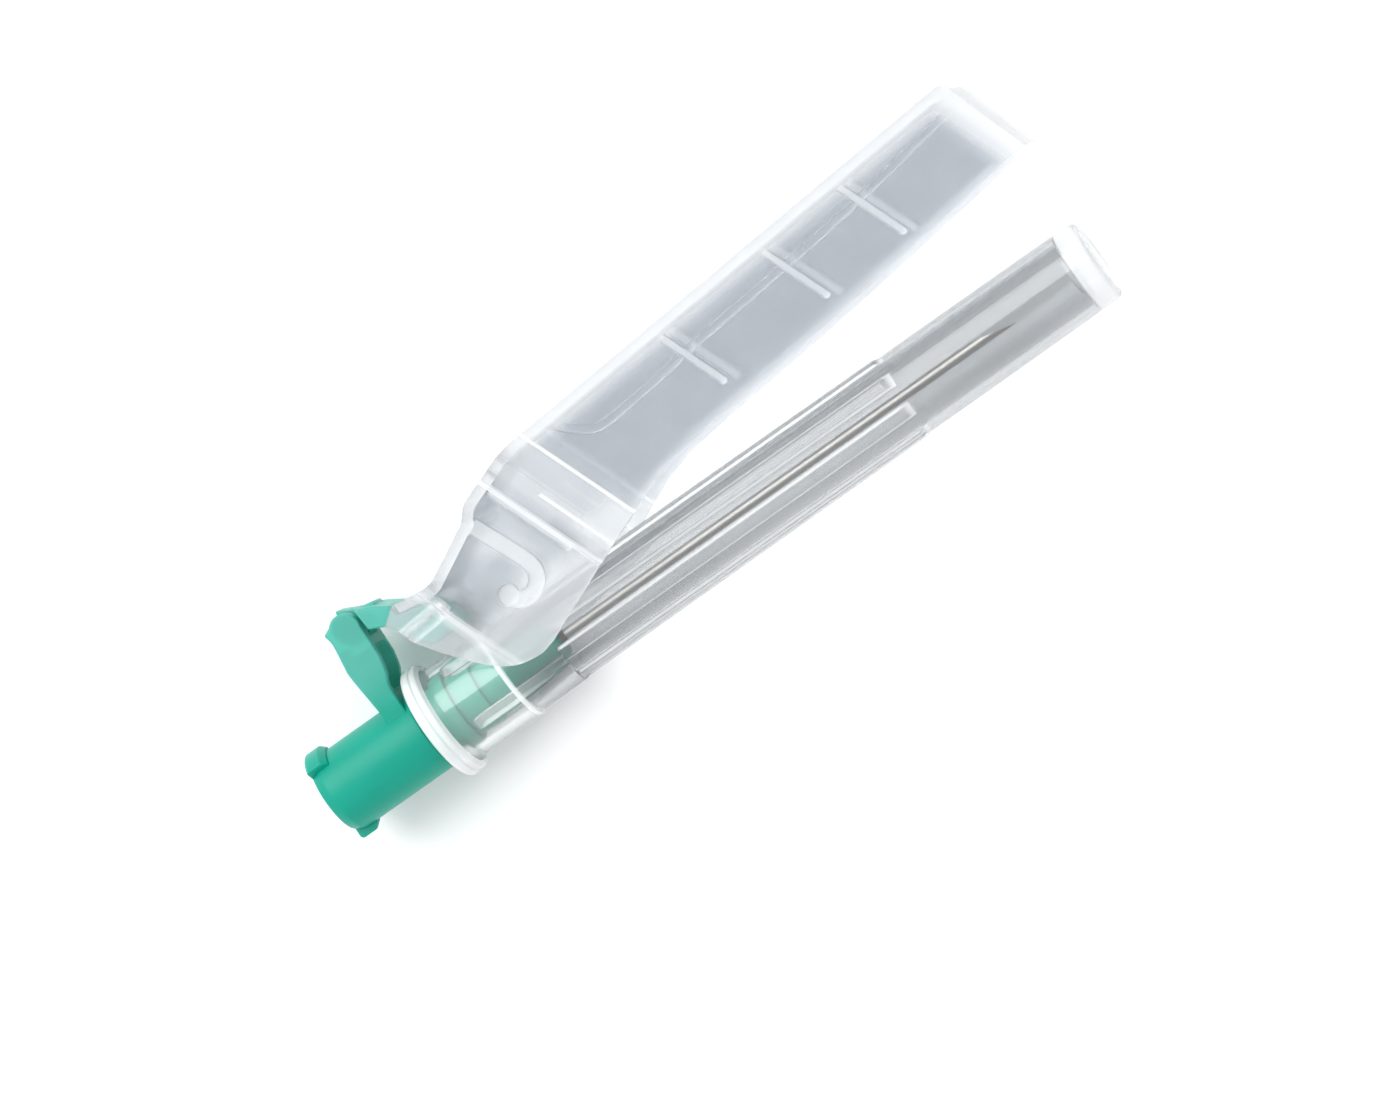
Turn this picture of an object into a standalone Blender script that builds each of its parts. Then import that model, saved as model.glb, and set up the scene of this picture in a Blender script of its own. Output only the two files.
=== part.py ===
"""Safety hypodermic needle with a hinged shield, lying on its side with its needle cap on.

The needle's axis runs along +X, away from the hub's open end, and the hinge's axis along +Z.
The origin is below the middle of the part's box, on the surface that the part lies on.
"""
import math

import bmesh
import bpy
from mathutils import Matrix, Vector

MM = 0.001

# Hub, from its open end to the nose
BARREL_DIAMETER = 6.65 * MM
BARREL_LENGTH = 9.55 * MM
RIM_CHAMFER_DEPTH = 0.42 * MM
RIM_CHAMFER_LENGTH = 0.85 * MM
SEAT_DIAMETER = 6.1 * MM
SEAT_LENGTH = 3.2 * MM
LAND_DIAMETER = 5.2 * MM
LAND_LENGTH = 2.15 * MM
NECK_DIAMETER = 4.5 * MM
NECK_LENGTH = 2.6 * MM
NOSE_DIAMETER = 2.9 * MM
NOSE_LENGTH = 4.5 * MM
LUER_MOUTH_DIAMETER = 4.3 * MM
LUER_TAPER = 0.06
LUER_DEPTH = 9.0 * MM
LUG_TIP_DIAMETER = 7.8 * MM
LUG_LENGTH = 1.85 * MM
LUG_SWEEP = math.radians(52.0)
LUG_LEANS = (math.radians(-68.0), math.radians(112.0))

# Cannula, 21 gauge, and its adhesive
CANNULA_DIAMETER = 0.82 * MM
CANNULA_BORE = 0.51 * MM
CANNULA_TAIL = 1.5 * MM
CANNULA_REACH = 42.4 * MM
BEVEL_ANGLE = math.radians(12.0)
CANNULA_FIT = 0.03 * MM
GLUE_WELL_DIAMETER = 1.9 * MM
GLUE_WELL_DEPTH = 2.6 * MM
GLUE_FIT = 0.02 * MM
GLUE_CROWN = 0.35 * MM

# Arm that stands on the hub and carries the hinge
ARM_WIDTH = 5.2 * MM
ARM_THICKNESS = 2.9 * MM
ARM_FOOT_STEP = 0.75 * MM
ARM_START = 7.1 * MM
ARM_WEB = 0.75 * MM
ARM_CHEEK = 0.7 * MM
HINGE_X = 8.9 * MM
HINGE_Y = 9.9 * MM
KNUCKLE_RADIUS = 1.25 * MM
HINGE_PIN_DIAMETER = 1.2 * MM
HINGE_FIT = 0.06 * MM
KNUCKLE_WIDTH = 2.6 * MM
KNUCKLE_GAP = 0.07 * MM
SWING_GAP = 0.2 * MM
WEB_TOP_ANGLE = math.radians(241.0)
SILL_ANGLE = math.radians(300.0)
SILL_FALL = math.radians(17.0)

# Shield, in its own frame: x along the spine from the hinge, y towards the spine
REST_ANGLE = math.radians(4.3)
DRAW_SLANT = math.radians(17.0)
END_SLANT = math.radians(14.0)
SHIELD_WALL = 0.65 * MM
SPINE_WALL = 0.8 * MM
SPINE_HEIGHT = 2.75 * MM
SPINE_START = 19.6 * MM
SHIELD_LENGTH = 61.9 * MM
END_WALL = 1.3 * MM
TIP_ROUND = 1.0 * MM
TROUGH_WIDTH = 9.0 * MM
SPINE_ROUND = 0.7 * MM
SLEEVE_START = 4.3 * MM
SLEEVE_DROP = 0.95 * MM
SLEEVE_MOUTH = Vector((2.85, -1.9)) * MM
SLEEVE_FLOOR = -2.9 * MM
SLEEVE_JOG = 1.4 * MM
BACK_BEND = Vector((7.95, -1.8)) * MM
BACK_KNEE = Vector((12.9, 0.3)) * MM
BACK_STEP = Vector((13.95, 1.3)) * MM
BACK_SHOULDER = Vector((18.1, 2.5)) * MM

# Stations of the side walls' steps, each where its slanted line crosses the shield's own x axis
BAR = 5.95 * MM
BAR_RUN = 0.45 * MM
BAR_STEP = 0.25 * MM
EAR_STEP_START = 16.45 * MM
EAR_STEP_RUN = 0.3 * MM
EAR_STEP = 0.25 * MM
RAMP_START = 18.45 * MM
TROUGH_START = 21.35 * MM

# Lower outline of the shield, from the ear's rear edge round to its tip
EAR_REAR = Vector((5.35, -6.1)) * MM
EAR_ROUND = (Vector((7.3, -8.75)) * MM, Vector((9.1, -10.4)) * MM, Vector((11.2, -11.05)) * MM)
EAR_CORNER = Vector((12.65, -10.9)) * MM
EAR_FRONT = Vector((20.8, -8.2)) * MM
THROAT = (Vector((23.7, -7.25)) * MM, Vector((26.3, -6.45)) * MM, Vector((30.5, -5.95)) * MM)
EDGE_MIDDLE = Vector((45.0, -5.6)) * MM
TIP_DEPTH = -4.7 * MM

# What stands on the inner faces of the side walls
RIB_THICKNESS = 0.7 * MM
RIB_RISE = 0.95 * MM
RIB_PLACES = (33.9 * MM, 44.0 * MM, 51.5 * MM)
RIB_TOP = 1.9 * MM
RIB_FOOT = -3.85 * MM
EAR_RIB_TOP = 0.6 * MM
EAR_RIB_FOOT = -6.1 * MM
EAR_RIB_RISE = 0.5 * MM
HOOK_RISE = 0.9 * MM
HOOK_LINE = (Vector((13.3, -0.2)) * MM, Vector((14.5, -3.6)) * MM, Vector((15.0, -5.3)) * MM,
             Vector((14.75, -6.4)) * MM, Vector((13.85, -7.05)) * MM, Vector((12.8, -6.95)) * MM)
HOOK_WIDTH = 1.3 * MM
HOOK_BEAD = Vector((12.15, -6.05)) * MM
HOOK_BEAD_DIAMETER = 1.7 * MM
HOOK_BEAD_RISE = 1.05 * MM
RAIL_RISE = 0.3 * MM
RAIL_BAND = 0.7 * MM
RAIL_END = 0.4 * MM
RAIL_LINE = (Vector((22.3, 1.9)) * MM, Vector((23.6, 0.25)) * MM, Vector((25.5, -0.95)) * MM,
             Vector((29.5, -1.02)) * MM, Vector((35.3, -0.8)) * MM, Vector((50.0, -0.42)) * MM)
ROOT = 0.25 * MM

# Link leaf, in the shield's frame
LINK_WIDTH = 6.0 * MM
LINK_FIT = 0.1 * MM
LINK_LIP = 1.65 * MM
LINK_CROWN = 0.75 * MM
LINK_STEP = 0.25 * MM
LINK_END = 6.0 * MM
LINK_DEPTH = 5.25 * MM

# Needle cap
FLANGE_DIAMETER = 9.6 * MM
FLANGE_LENGTH = 1.6 * MM
FLANGE_GAP = 0.3 * MM
CAP_FIT = 0.07 * MM
CAP_BASE_DIAMETER = 7.9 * MM
CAP_BASE_LENGTH = 7.65 * MM
CAP_STEP = 0.16 * MM
CAP_WALL = 0.75 * MM
RIBS_START = 21.8 * MM
RIBS_END = 54.4 * MM
RIB_CROWN_START_DIAMETER = 7.44 * MM
RIB_CROWN_END_DIAMETER = 7.2 * MM
GROOVE_DEPTH = 0.24 * MM
CAP_RIBS = 8
CAP_RIB_SWEEP = math.radians(18.0)
CAP_RIB_LEAN = math.radians(20.0)
CAP_TIP_DIAMETER = 6.72 * MM
CAP_LENGTH = 62.25 * MM
CAP_DOME = 0.3 * MM
CAP_EDGE = 0.5 * MM
CAP_END_WALL = 1.85 * MM
BOSS_DIAMETER = 3.2 * MM
BOSS_RISE = 0.65 * MM
RAILS = 4
RAIL_LENGTH = 4.3 * MM
RAIL_WIDTH = 1.0 * MM
RAIL_LEAN = math.radians(33.0)

# Running room between the cap's flange and the ears that straddle it
EAR_ROOM = 0.3 * MM

ROUND = 48
SMALL_ROUND = 24
MERGE = 1e-8


def barrel_radius():
    """Radius of the hub's barrel."""
    return BARREL_DIAMETER / 2


def seat_end():
    """Station along the needle where the cap's seat on the hub ends."""
    return BARREL_LENGTH + SEAT_LENGTH


def land_end():
    """Station where the land that the cap's rails hold ends."""
    return seat_end() + LAND_LENGTH


def neck_end():
    """Station where the hub's neck ends and its nose begins."""
    return land_end() + NECK_LENGTH


def nose_end():
    """Station of the hub's front face, where the cannula comes out."""
    return neck_end() + NOSE_LENGTH


def flange_start():
    """Station of the rear face of the cap's flange."""
    return BARREL_LENGTH + FLANGE_GAP


def cap_end():
    """Station of the cap's closed tip."""
    return flange_start() + CAP_LENGTH


def ear_half_width():
    """Half the width over the shield's ears, which let the cap's flange pass between them."""
    return FLANGE_DIAMETER / 2 + EAR_ROOM + SHIELD_WALL


def sleeve_half_width():
    """Half the width over the sleeve that grips the link leaf."""
    return LINK_WIDTH / 2 + LINK_FIT + SHIELD_WALL


def tip_corner():
    """The open edge's corner at the shield's tip, in the shield's frame."""
    drop = SPINE_HEIGHT - TIP_DEPTH
    return Vector((SHIELD_LENGTH + drop * math.tan(END_SLANT), TIP_DEPTH))


def needle_frame_origin():
    """Place of the hub's open end, on the needle's axis, in the part's frame."""
    turn = Matrix.Rotation(REST_ANGLE, 2)
    reach = HINGE_X + (turn @ tip_corner()).x
    top = HINGE_Y + (turn @ Vector((SHIELD_LENGTH, SPINE_HEIGHT))).y
    low = FLANGE_DIAMETER / 2
    return Vector((-max(reach, cap_end()) / 2, -(top - low) / 2, ear_half_width()))


def draw_shift(drop):
    """Move along the mould's slanted draw for a drop away from the spine."""
    return Vector((drop * math.tan(DRAW_SLANT), -drop))


def material(name, colour, roughness, metallic=0.0, transmission=0.0):
    """A Principled material."""
    made = bpy.data.materials.new(name)
    made.use_nodes = True
    shader = made.node_tree.nodes["Principled BSDF"]
    shader.inputs["Base Color"].default_value = (*colour, 1.0)
    shader.inputs["Roughness"].default_value = roughness
    shader.inputs["Metallic"].default_value = metallic
    shader.inputs["Transmission Weight"].default_value = transmission
    made.diffuse_color = (*colour, 1.0)
    return made


def new_object(name, bm, parent=None):
    """Closes a bmesh's normals and puts it into the scene as an object, shaded smooth."""
    bmesh.ops.remove_doubles(bm, verts=bm.verts, dist=MERGE)
    bmesh.ops.recalc_face_normals(bm, faces=bm.faces)
    mesh = bpy.data.meshes.new(name)
    bm.to_mesh(mesh)
    bm.free()
    mesh.shade_smooth()
    mesh.set_sharp_from_angle(angle=math.radians(35.0))
    made = bpy.data.objects.new(name, mesh)
    bpy.context.scene.collection.objects.link(made)
    made.parent = parent
    return made


def wire_loop(bm, points):
    """A closed loop of edges through 3D points."""
    verts = [bm.verts.new(point) for point in points]
    edges = [bm.edges.new((verts[i - 1], verts[i])) for i in range(len(verts))]
    return verts, edges


def revolve(name, profile, parent=None, start=0.0, sweep=2 * math.pi, steps=ROUND):
    """Turns a closed profile of (x, radius) points about the needle's axis."""
    bm = bmesh.new()
    turn = Matrix.Rotation(start, 3, "X")
    verts, edges = wire_loop(bm, [turn @ Vector((x, 0.0, r)) for x, r in profile])
    whole = sweep >= 2 * math.pi - 1e-6
    bmesh.ops.spin(bm, geom=verts + edges, cent=(0, 0, 0), axis=(1, 0, 0), angle=sweep,
                   steps=steps, use_merge=whole, use_duplicate=False)
    bmesh.ops.remove_doubles(bm, verts=bm.verts, dist=MERGE)
    bmesh.ops.dissolve_degenerate(bm, edges=bm.edges, dist=MERGE)
    bmesh.ops.delete(bm, geom=[edge for edge in bm.edges if not edge.link_faces], context="EDGES")
    if not whole:
        bmesh.ops.holes_fill(bm, edges=bm.edges, sides=0)
    return new_object(name, bm, parent)


def prism_mesh(outline, low, high):
    """A bmesh of an outline in the XY plane, drawn out along Z."""
    bm = bmesh.new()
    _, edges = wire_loop(bm, [Vector((p[0], p[1], low)) for p in outline])
    drawn = bmesh.ops.extrude_edge_only(bm, edges=edges)
    moved = [item for item in drawn["geom"] if isinstance(item, bmesh.types.BMVert)]
    bmesh.ops.translate(bm, verts=moved, vec=(0, 0, high - low))
    bmesh.ops.holes_fill(bm, edges=bm.edges, sides=0)
    bmesh.ops.recalc_face_normals(bm, faces=bm.faces)
    return bm


def prism(name, outline, low, high, parent=None):
    """An object drawn out along Z from an outline in the XY plane."""
    return new_object(name, prism_mesh(outline, low, high), parent)


def tool(made):
    """Marks an object as a tool, which shapes another one and isn't a piece itself."""
    made.hide_render = True
    made.display_type = "WIRE"
    return made


def combine(target, other, operation):
    """Adds a live Boolean of another object to the target."""
    step = target.modifiers.new(other.name, "BOOLEAN")
    step.operation = operation
    step.solver = "EXACT"
    step.object = tool(other)
    return step


def arc(centre, radius, start, end, steps):
    """Points on an arc, both ends included."""
    points = []
    for i in range(steps + 1):
        angle = start + (end - start) * i / steps
        points.append(Vector((centre[0] + radius * math.cos(angle), centre[1] + radius * math.sin(angle))))
    return points


def smooth_line(points, steps):
    """A smooth line through a few points, both ends included."""
    ends = [2 * points[0] - points[1], *points, 2 * points[-1] - points[-2]]
    line = []
    for i in range(1, len(ends) - 2):
        before, here, there, after = ends[i - 1:i + 3]
        for j in range(steps):
            t = j / steps
            line.append(0.5 * (2 * here + (there - before) * t
                               + (2 * before - 5 * here + 4 * there - after) * t ** 2
                               + (3 * here - before - 3 * there + after) * t ** 3))
    line.append(ends[-2])
    return line


def offset_line(points, distance):
    """A line beside an open line, to the left of its direction by a positive distance."""
    beside = []
    for i, point in enumerate(points):
        before = points[max(i - 1, 0)]
        after = points[min(i + 1, len(points) - 1)]
        first = (point - before).normalized() if i else (after - point).normalized()
        second = (after - point).normalized() if i < len(points) - 1 else first
        left_first = Vector((-first.y, first.x))
        left_second = Vector((-second.y, second.x))
        mean = (left_first + left_second).normalized()
        beside.append(point + mean * distance / max(mean.dot(left_first), 0.5))
    return beside


def luer_radius(station):
    """Radius of the tapered Luer socket at a station from the hub's open end."""
    return (LUER_MOUTH_DIAMETER - LUER_TAPER * station) / 2


def make_hub(frame, finish):
    """The hub with its lugs, arm and hinge cheeks, moulded in one."""
    r = barrel_radius()
    body = [(0, 0), (0, r - RIM_CHAMFER_DEPTH), (RIM_CHAMFER_LENGTH, r), (BARREL_LENGTH, r),
            (BARREL_LENGTH, SEAT_DIAMETER / 2), (seat_end(), SEAT_DIAMETER / 2),
            (seat_end(), LAND_DIAMETER / 2), (land_end(), LAND_DIAMETER / 2),
            (land_end(), NECK_DIAMETER / 2), (neck_end(), NECK_DIAMETER / 2),
            (nose_end(), NOSE_DIAMETER / 2), (nose_end(), 0)]
    hub = revolve("hub", body, frame)
    tip = LUG_TIP_DIAMETER / 2
    root = r - RIM_CHAMFER_DEPTH - ROOT
    chamfer = (tip - r) / 3
    lug = [(0, root), (0, tip - chamfer), (chamfer, tip), (0.75 * LUG_LENGTH, tip),
           (LUG_LENGTH, r + chamfer), (LUG_LENGTH, root)]
    for i, lean in enumerate(LUG_LEANS):
        combine(hub, revolve(f"lug_{i}", lug, frame, lean - LUG_SWEEP / 2, LUG_SWEEP, 8), "UNION")
    combine(hub, make_arm(frame), "UNION")
    combine(hub, make_hub_core(frame), "DIFFERENCE")
    hub.data.materials.append(finish)
    return hub


def make_hub_core(frame):
    """The hub's inside: Luer socket, hole for the cannula and well for the adhesive."""
    hole = CANNULA_DIAMETER / 2 + CANNULA_FIT
    well_start = nose_end() - GLUE_WELL_DEPTH
    end = nose_end() + GLUE_WELL_DEPTH
    core = [(-LUER_DEPTH, 0), (-LUER_DEPTH, luer_radius(-LUER_DEPTH)), (LUER_DEPTH, luer_radius(LUER_DEPTH)),
            (LUER_DEPTH, hole), (well_start, hole), (well_start, GLUE_WELL_DIAMETER / 2),
            (end, GLUE_WELL_DIAMETER / 2), (end, 0)]
    return revolve("hub_core", core, frame)


def make_arm(frame):
    """The arm: a channel with two cheeks, which end in the hinge's eyes."""
    centre = Vector((HINGE_X, HINGE_Y))
    front = ARM_START + ARM_THICKNESS
    foot = barrel_radius() / 2
    waist = HINGE_Y / 2 + barrel_radius() / 2
    eye = arc(centre, KNUCKLE_RADIUS, math.radians(-20.0), math.radians(140.0), 12)
    back = [Vector((ARM_START + 0.2 * ARM_WEB, HINGE_Y + 0.4 * KNUCKLE_RADIUS)),
            Vector((ARM_START + 0.5 * ARM_WEB, HINGE_Y - 0.3 * KNUCKLE_RADIUS)),
            Vector((ARM_START, HINGE_Y - 1.8 * KNUCKLE_RADIUS)),
            Vector((ARM_START, waist)),
            Vector((ARM_START + 0.4 * ARM_WEB, barrel_radius())),
            Vector((ARM_START + 0.4 * ARM_WEB, foot))]
    face = [Vector((front - ARM_FOOT_STEP, foot)),
            Vector((front - ARM_FOOT_STEP, barrel_radius() * 1.3)),
            Vector((front - 0.4 * ARM_FOOT_STEP, (waist + barrel_radius() * 1.3) / 2)),
            Vector((front, waist))]
    half = ARM_WIDTH / 2
    arm = prism("arm", eye + back + face, -half, half, frame)
    inside = half - ARM_CHEEK
    pocket_start = ARM_START + ARM_WEB
    sill = HINGE_Y - 1.7 * KNUCKLE_RADIUS
    pocket = [(pocket_start, barrel_radius() * 1.25), (front * 2, barrel_radius() * 1.25), (front * 2, sill),
              (pocket_start, sill)]
    combine(arm, prism("arm_pocket", pocket, -inside, inside, frame), "DIFFERENCE")
    swing = KNUCKLE_RADIUS + SWING_GAP
    slot = arc(centre, swing, WEB_TOP_ANGLE, SILL_ANGLE, 8)
    slot += [slot[-1] + Vector((HINGE_X, -HINGE_X * math.tan(SILL_FALL))),
             Vector((2 * HINGE_X, 2 * HINGE_Y)), Vector((0, 2 * HINGE_Y)), Vector((0, slot[0].y))]
    gap = KNUCKLE_WIDTH / 2 + KNUCKLE_GAP
    combine(arm, prism("knuckle_slot", slot, -gap, gap, frame), "DIFFERENCE")
    eye_hole = arc(centre, HINGE_PIN_DIAMETER / 2 + HINGE_FIT, 0, 2 * math.pi, SMALL_ROUND)[:-1]
    combine(arm, prism("eye_hole", eye_hole, -ARM_WIDTH, ARM_WIDTH, frame), "DIFFERENCE")
    return arm


def make_cannula(frame, finish):
    """The steel tube, ground to a bevel at its tip."""
    tip = nose_end() + CANNULA_REACH
    start = LUER_DEPTH + CANNULA_TAIL
    wall = [(start, CANNULA_BORE / 2), (start, CANNULA_DIAMETER / 2), (tip, CANNULA_DIAMETER / 2),
            (tip, CANNULA_BORE / 2)]
    cannula = revolve("cannula", wall, frame, steps=SMALL_ROUND)
    bevel_length = CANNULA_DIAMETER / math.tan(BEVEL_ANGLE)
    over = CANNULA_DIAMETER / 2
    slope = (over + over) / bevel_length
    grind = [(tip + over, -over - over * slope), (tip + over, 2 * over + over),
             (tip - bevel_length - 2 * over / slope, 2 * over + over)]
    combine(cannula, prism("bevel_grind", grind, -CANNULA_DIAMETER, CANNULA_DIAMETER, frame), "DIFFERENCE")
    cannula.data.materials.append(finish)
    return cannula


def make_adhesive(frame, finish):
    """The bead of cured adhesive that fills the well round the cannula."""
    inner = CANNULA_DIAMETER / 2 + GLUE_FIT
    outer = GLUE_WELL_DIAMETER / 2 - GLUE_FIT
    start = nose_end() - GLUE_WELL_DEPTH + GLUE_FIT
    crown = [(nose_end() + GLUE_CROWN * math.sin(t), inner + (outer - inner) * math.cos(t))
             for t in (math.radians(a) for a in (0, 20, 40, 60, 80))]
    bead = revolve("adhesive", [(start, inner), (start, outer), *crown, (nose_end() + GLUE_CROWN, inner)], frame,
                   steps=SMALL_ROUND)
    bead.data.materials.append(finish)
    return bead


def cap_outer_radius(station):
    """Radius of the cap's groove floors and of its smooth far part."""
    floor_start = RIB_CROWN_START_DIAMETER / 2 - GROOVE_DEPTH
    slope = (CAP_TIP_DIAMETER / 2 - floor_start) / (cap_end() - RIBS_START)
    return floor_start + slope * (station - RIBS_START)


def make_cap(frame, finish):
    """The needle cap: flange, base with inner rails, ribbed grip and smooth closed end."""
    cap = revolve("cap", cap_profile() + cap_inside()[::-1], frame)
    lean = CAP_RIB_SWEEP / 2
    crown = [(RIBS_START - ROOT, cap_outer_radius(RIBS_START) - ROOT),
             (RIBS_START - ROOT, RIB_CROWN_START_DIAMETER / 2),
             (RIBS_END, RIB_CROWN_END_DIAMETER / 2),
             (RIBS_END, cap_outer_radius(RIBS_END) - ROOT)]
    for i in range(CAP_RIBS):
        start = CAP_RIB_LEAN + 2 * math.pi * i / CAP_RIBS - lean
        combine(cap, revolve(f"cap_rib_{i}", crown, frame, start, CAP_RIB_SWEEP, 3), "UNION")
    rail_foot = LAND_DIAMETER / 2 + CAP_FIT
    bore = cap_bore_radius()
    rail_start = flange_start() + CAP_BASE_LENGTH - RAIL_LENGTH
    rail_end = rail_start + RAIL_LENGTH + ROOT
    rail = [(rail_start, bore + ROOT), (rail_start, bore - 0.3 * (bore - rail_foot)),
            (rail_start + 0.5 * RAIL_WIDTH, rail_foot), (rail_end, rail_foot), (rail_end, bore + ROOT)]
    sweep = RAIL_WIDTH / bore
    for i in range(RAILS):
        start = RAIL_LEAN + 2 * math.pi * i / RAILS - sweep / 2
        combine(cap, revolve(f"cap_rail_{i}", rail, frame, start, sweep, 3), "UNION")
    cap.data.materials.append(finish)
    return cap


def cap_bore_radius():
    """Radius of the cap's base bore, which takes the hub's seat."""
    return SEAT_DIAMETER / 2 + CAP_FIT


def cap_profile():
    """Outer profile of the cap without its ribs, from its mouth to its tip."""
    r = FLANGE_DIAMETER / 2
    base = CAP_BASE_DIAMETER / 2
    start = flange_start()
    lip = FLANGE_LENGTH / 4
    step = start + CAP_BASE_LENGTH
    tip = CAP_TIP_DIAMETER / 2
    end = cap_end()
    shoulder = RIB_CROWN_START_DIAMETER / 2
    profile = [(start, r - lip), (start + 0.4 * lip, r - 0.4 * lip), (start + lip, r),
               (start + 2 * lip, r), (start + 2.3 * lip, r - 0.35 * lip), (start + 2.7 * lip, r - 0.35 * lip),
               (start + 3 * lip, r - 0.1 * lip), (start + 3.5 * lip, r - 0.3 * lip),
               (start + FLANGE_LENGTH, r - 1.2 * lip), (start + FLANGE_LENGTH + lip, base),
               (step, base), (step, base - CAP_STEP), (RIBS_START, shoulder),
               (RIBS_START, cap_outer_radius(RIBS_START)), (end - CAP_DOME - CAP_EDGE, tip)]
    edge = [(end - CAP_DOME - CAP_EDGE + CAP_EDGE * math.sin(t), tip - CAP_EDGE + CAP_EDGE * math.cos(t))
            for t in (math.radians(a) for a in (25, 50, 75))]
    dome = [(end - CAP_DOME * (1 - math.cos(t)), (tip - CAP_EDGE) * math.sin(t))
            for t in (math.radians(a) for a in (75, 50, 25))]
    return profile + edge + dome + [(end, 0)]


def cap_inside():
    """Inner profile of the cap from its mouth, with the boss that stands on its end wall."""
    bore = cap_bore_radius()
    step = flange_start() + CAP_BASE_LENGTH
    inner_end = cap_end() - CAP_END_WALL
    inner = CAP_TIP_DIAMETER / 2 - CAP_WALL
    return [(flange_start(), bore + CAP_FIT), (step, bore),
            (RIBS_START, cap_outer_radius(RIBS_START) - CAP_WALL),
            (inner_end, inner), (inner_end, BOSS_DIAMETER / 2),
            (inner_end - BOSS_RISE, BOSS_DIAMETER / 2 - 0.1 * BOSS_RISE), (inner_end - BOSS_RISE, 0)]


def back_line():
    """The outer line of the shield's back, from the sleeve's mouth to the tip."""
    return [Vector((SLEEVE_START, -SLEEVE_DROP)), BACK_BEND, BACK_KNEE, BACK_STEP, BACK_SHOULDER,
            Vector((SPINE_START, SPINE_HEIGHT)), Vector((SHIELD_LENGTH, SPINE_HEIGHT))]


def tip_round():
    """The rounded corner between the spine and the shield's end."""
    centre = Vector((SHIELD_LENGTH - TIP_ROUND, SPINE_HEIGHT - TIP_ROUND))
    return arc(centre, TIP_ROUND, math.pi / 2, END_SLANT, 4)


def lower_line():
    """The shield's open edge, from its tip to the ear, and the ear's edge up to the sleeve's mouth."""
    edge = smooth_line([tip_corner(), EDGE_MIDDLE, *reversed(THROAT), EAR_FRONT], 5)
    ear = smooth_line([EAR_CORNER, *reversed(EAR_ROUND), EAR_REAR], 4)
    return edge + ear + [SLEEVE_MOUTH]


def ramp(value, start, end):
    """Share from 0 to 1 of the way from a start to an end."""
    return min(max((value - start) / (end - start), 0.0), 1.0)


def half_width(point, less=0.0):
    """Half the width at a point of the side view, with the steps between sleeve, ears and trough.

    Inside the walls, less is their thickness: the wall of the step at the bar is as thick, and the ear's
    narrowing step comes earlier, so that the wall stays even round it.
    """
    along = point[0] + point[1] * math.tan(DRAW_SLANT)
    ears = ear_half_width()
    behind_bar = ears - (0.0 if less else BAR_STEP)
    sleeve = sleeve_half_width()
    width = sleeve + (behind_bar - sleeve) * ramp(-point[1], -SLEEVE_FLOOR, SLEEVE_JOG - SLEEVE_FLOOR)
    width += (ears - width) * ramp(along, BAR + less, BAR + less + BAR_RUN)
    narrowing = EAR_STEP_START - less / 3
    width -= EAR_STEP * ramp(along, narrowing, narrowing + EAR_STEP_RUN)
    throat = ears - EAR_STEP - TROUGH_WIDTH / 2
    return width - throat * ramp(along, RAMP_START, TROUGH_START) - less


def step_planes(less):
    """A point and a normal for each crease of the shield's side walls."""
    slanted = Vector((math.cos(DRAW_SLANT), math.sin(DRAW_SLANT), 0.0))
    level = Vector((0.0, 1.0, 0.0))
    narrowing = EAR_STEP_START - less / 3
    stations = (BAR + less, BAR + less + BAR_RUN, narrowing, narrowing + EAR_STEP_RUN, RAMP_START, TROUGH_START)
    planes = [(Vector((station, 0.0, 0.0)), slanted) for station in stations]
    return planes + [(Vector((0.0, SLEEVE_FLOOR - drop, 0.0)), level) for drop in (0.0, SLEEVE_JOG)]


def jogged_prism(name, outline, less, parent, rounded=0.0):
    """A prism of a side view whose faces follow the shield's jogs, with its spine edges rounded."""
    bm = prism_mesh(outline, -1.0 * MM, 1.0 * MM)
    for point, normal in step_planes(less):
        geometry = bm.verts[:] + bm.edges[:] + bm.faces[:]
        bmesh.ops.bisect_plane(bm, geom=geometry, plane_co=point, plane_no=normal, dist=MERGE)
    for vert in bm.verts:
        vert.co.z = math.copysign(half_width(vert.co, less), vert.co.z)
    if rounded:
        level = max(vert.co.y for vert in bm.verts) - MERGE * 100
        spine = [edge for edge in bm.edges
                 if min(v.co.y for v in edge.verts) > level and abs(edge.verts[0].co.z - edge.verts[1].co.z) < MM]
        bmesh.ops.bevel(bm, geom=spine, offset=rounded, offset_type="OFFSET", affect="EDGES", segments=4,
                        profile=0.5, material=-1, clamp_overlap=True)
    return new_object(name, bm, parent)


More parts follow.
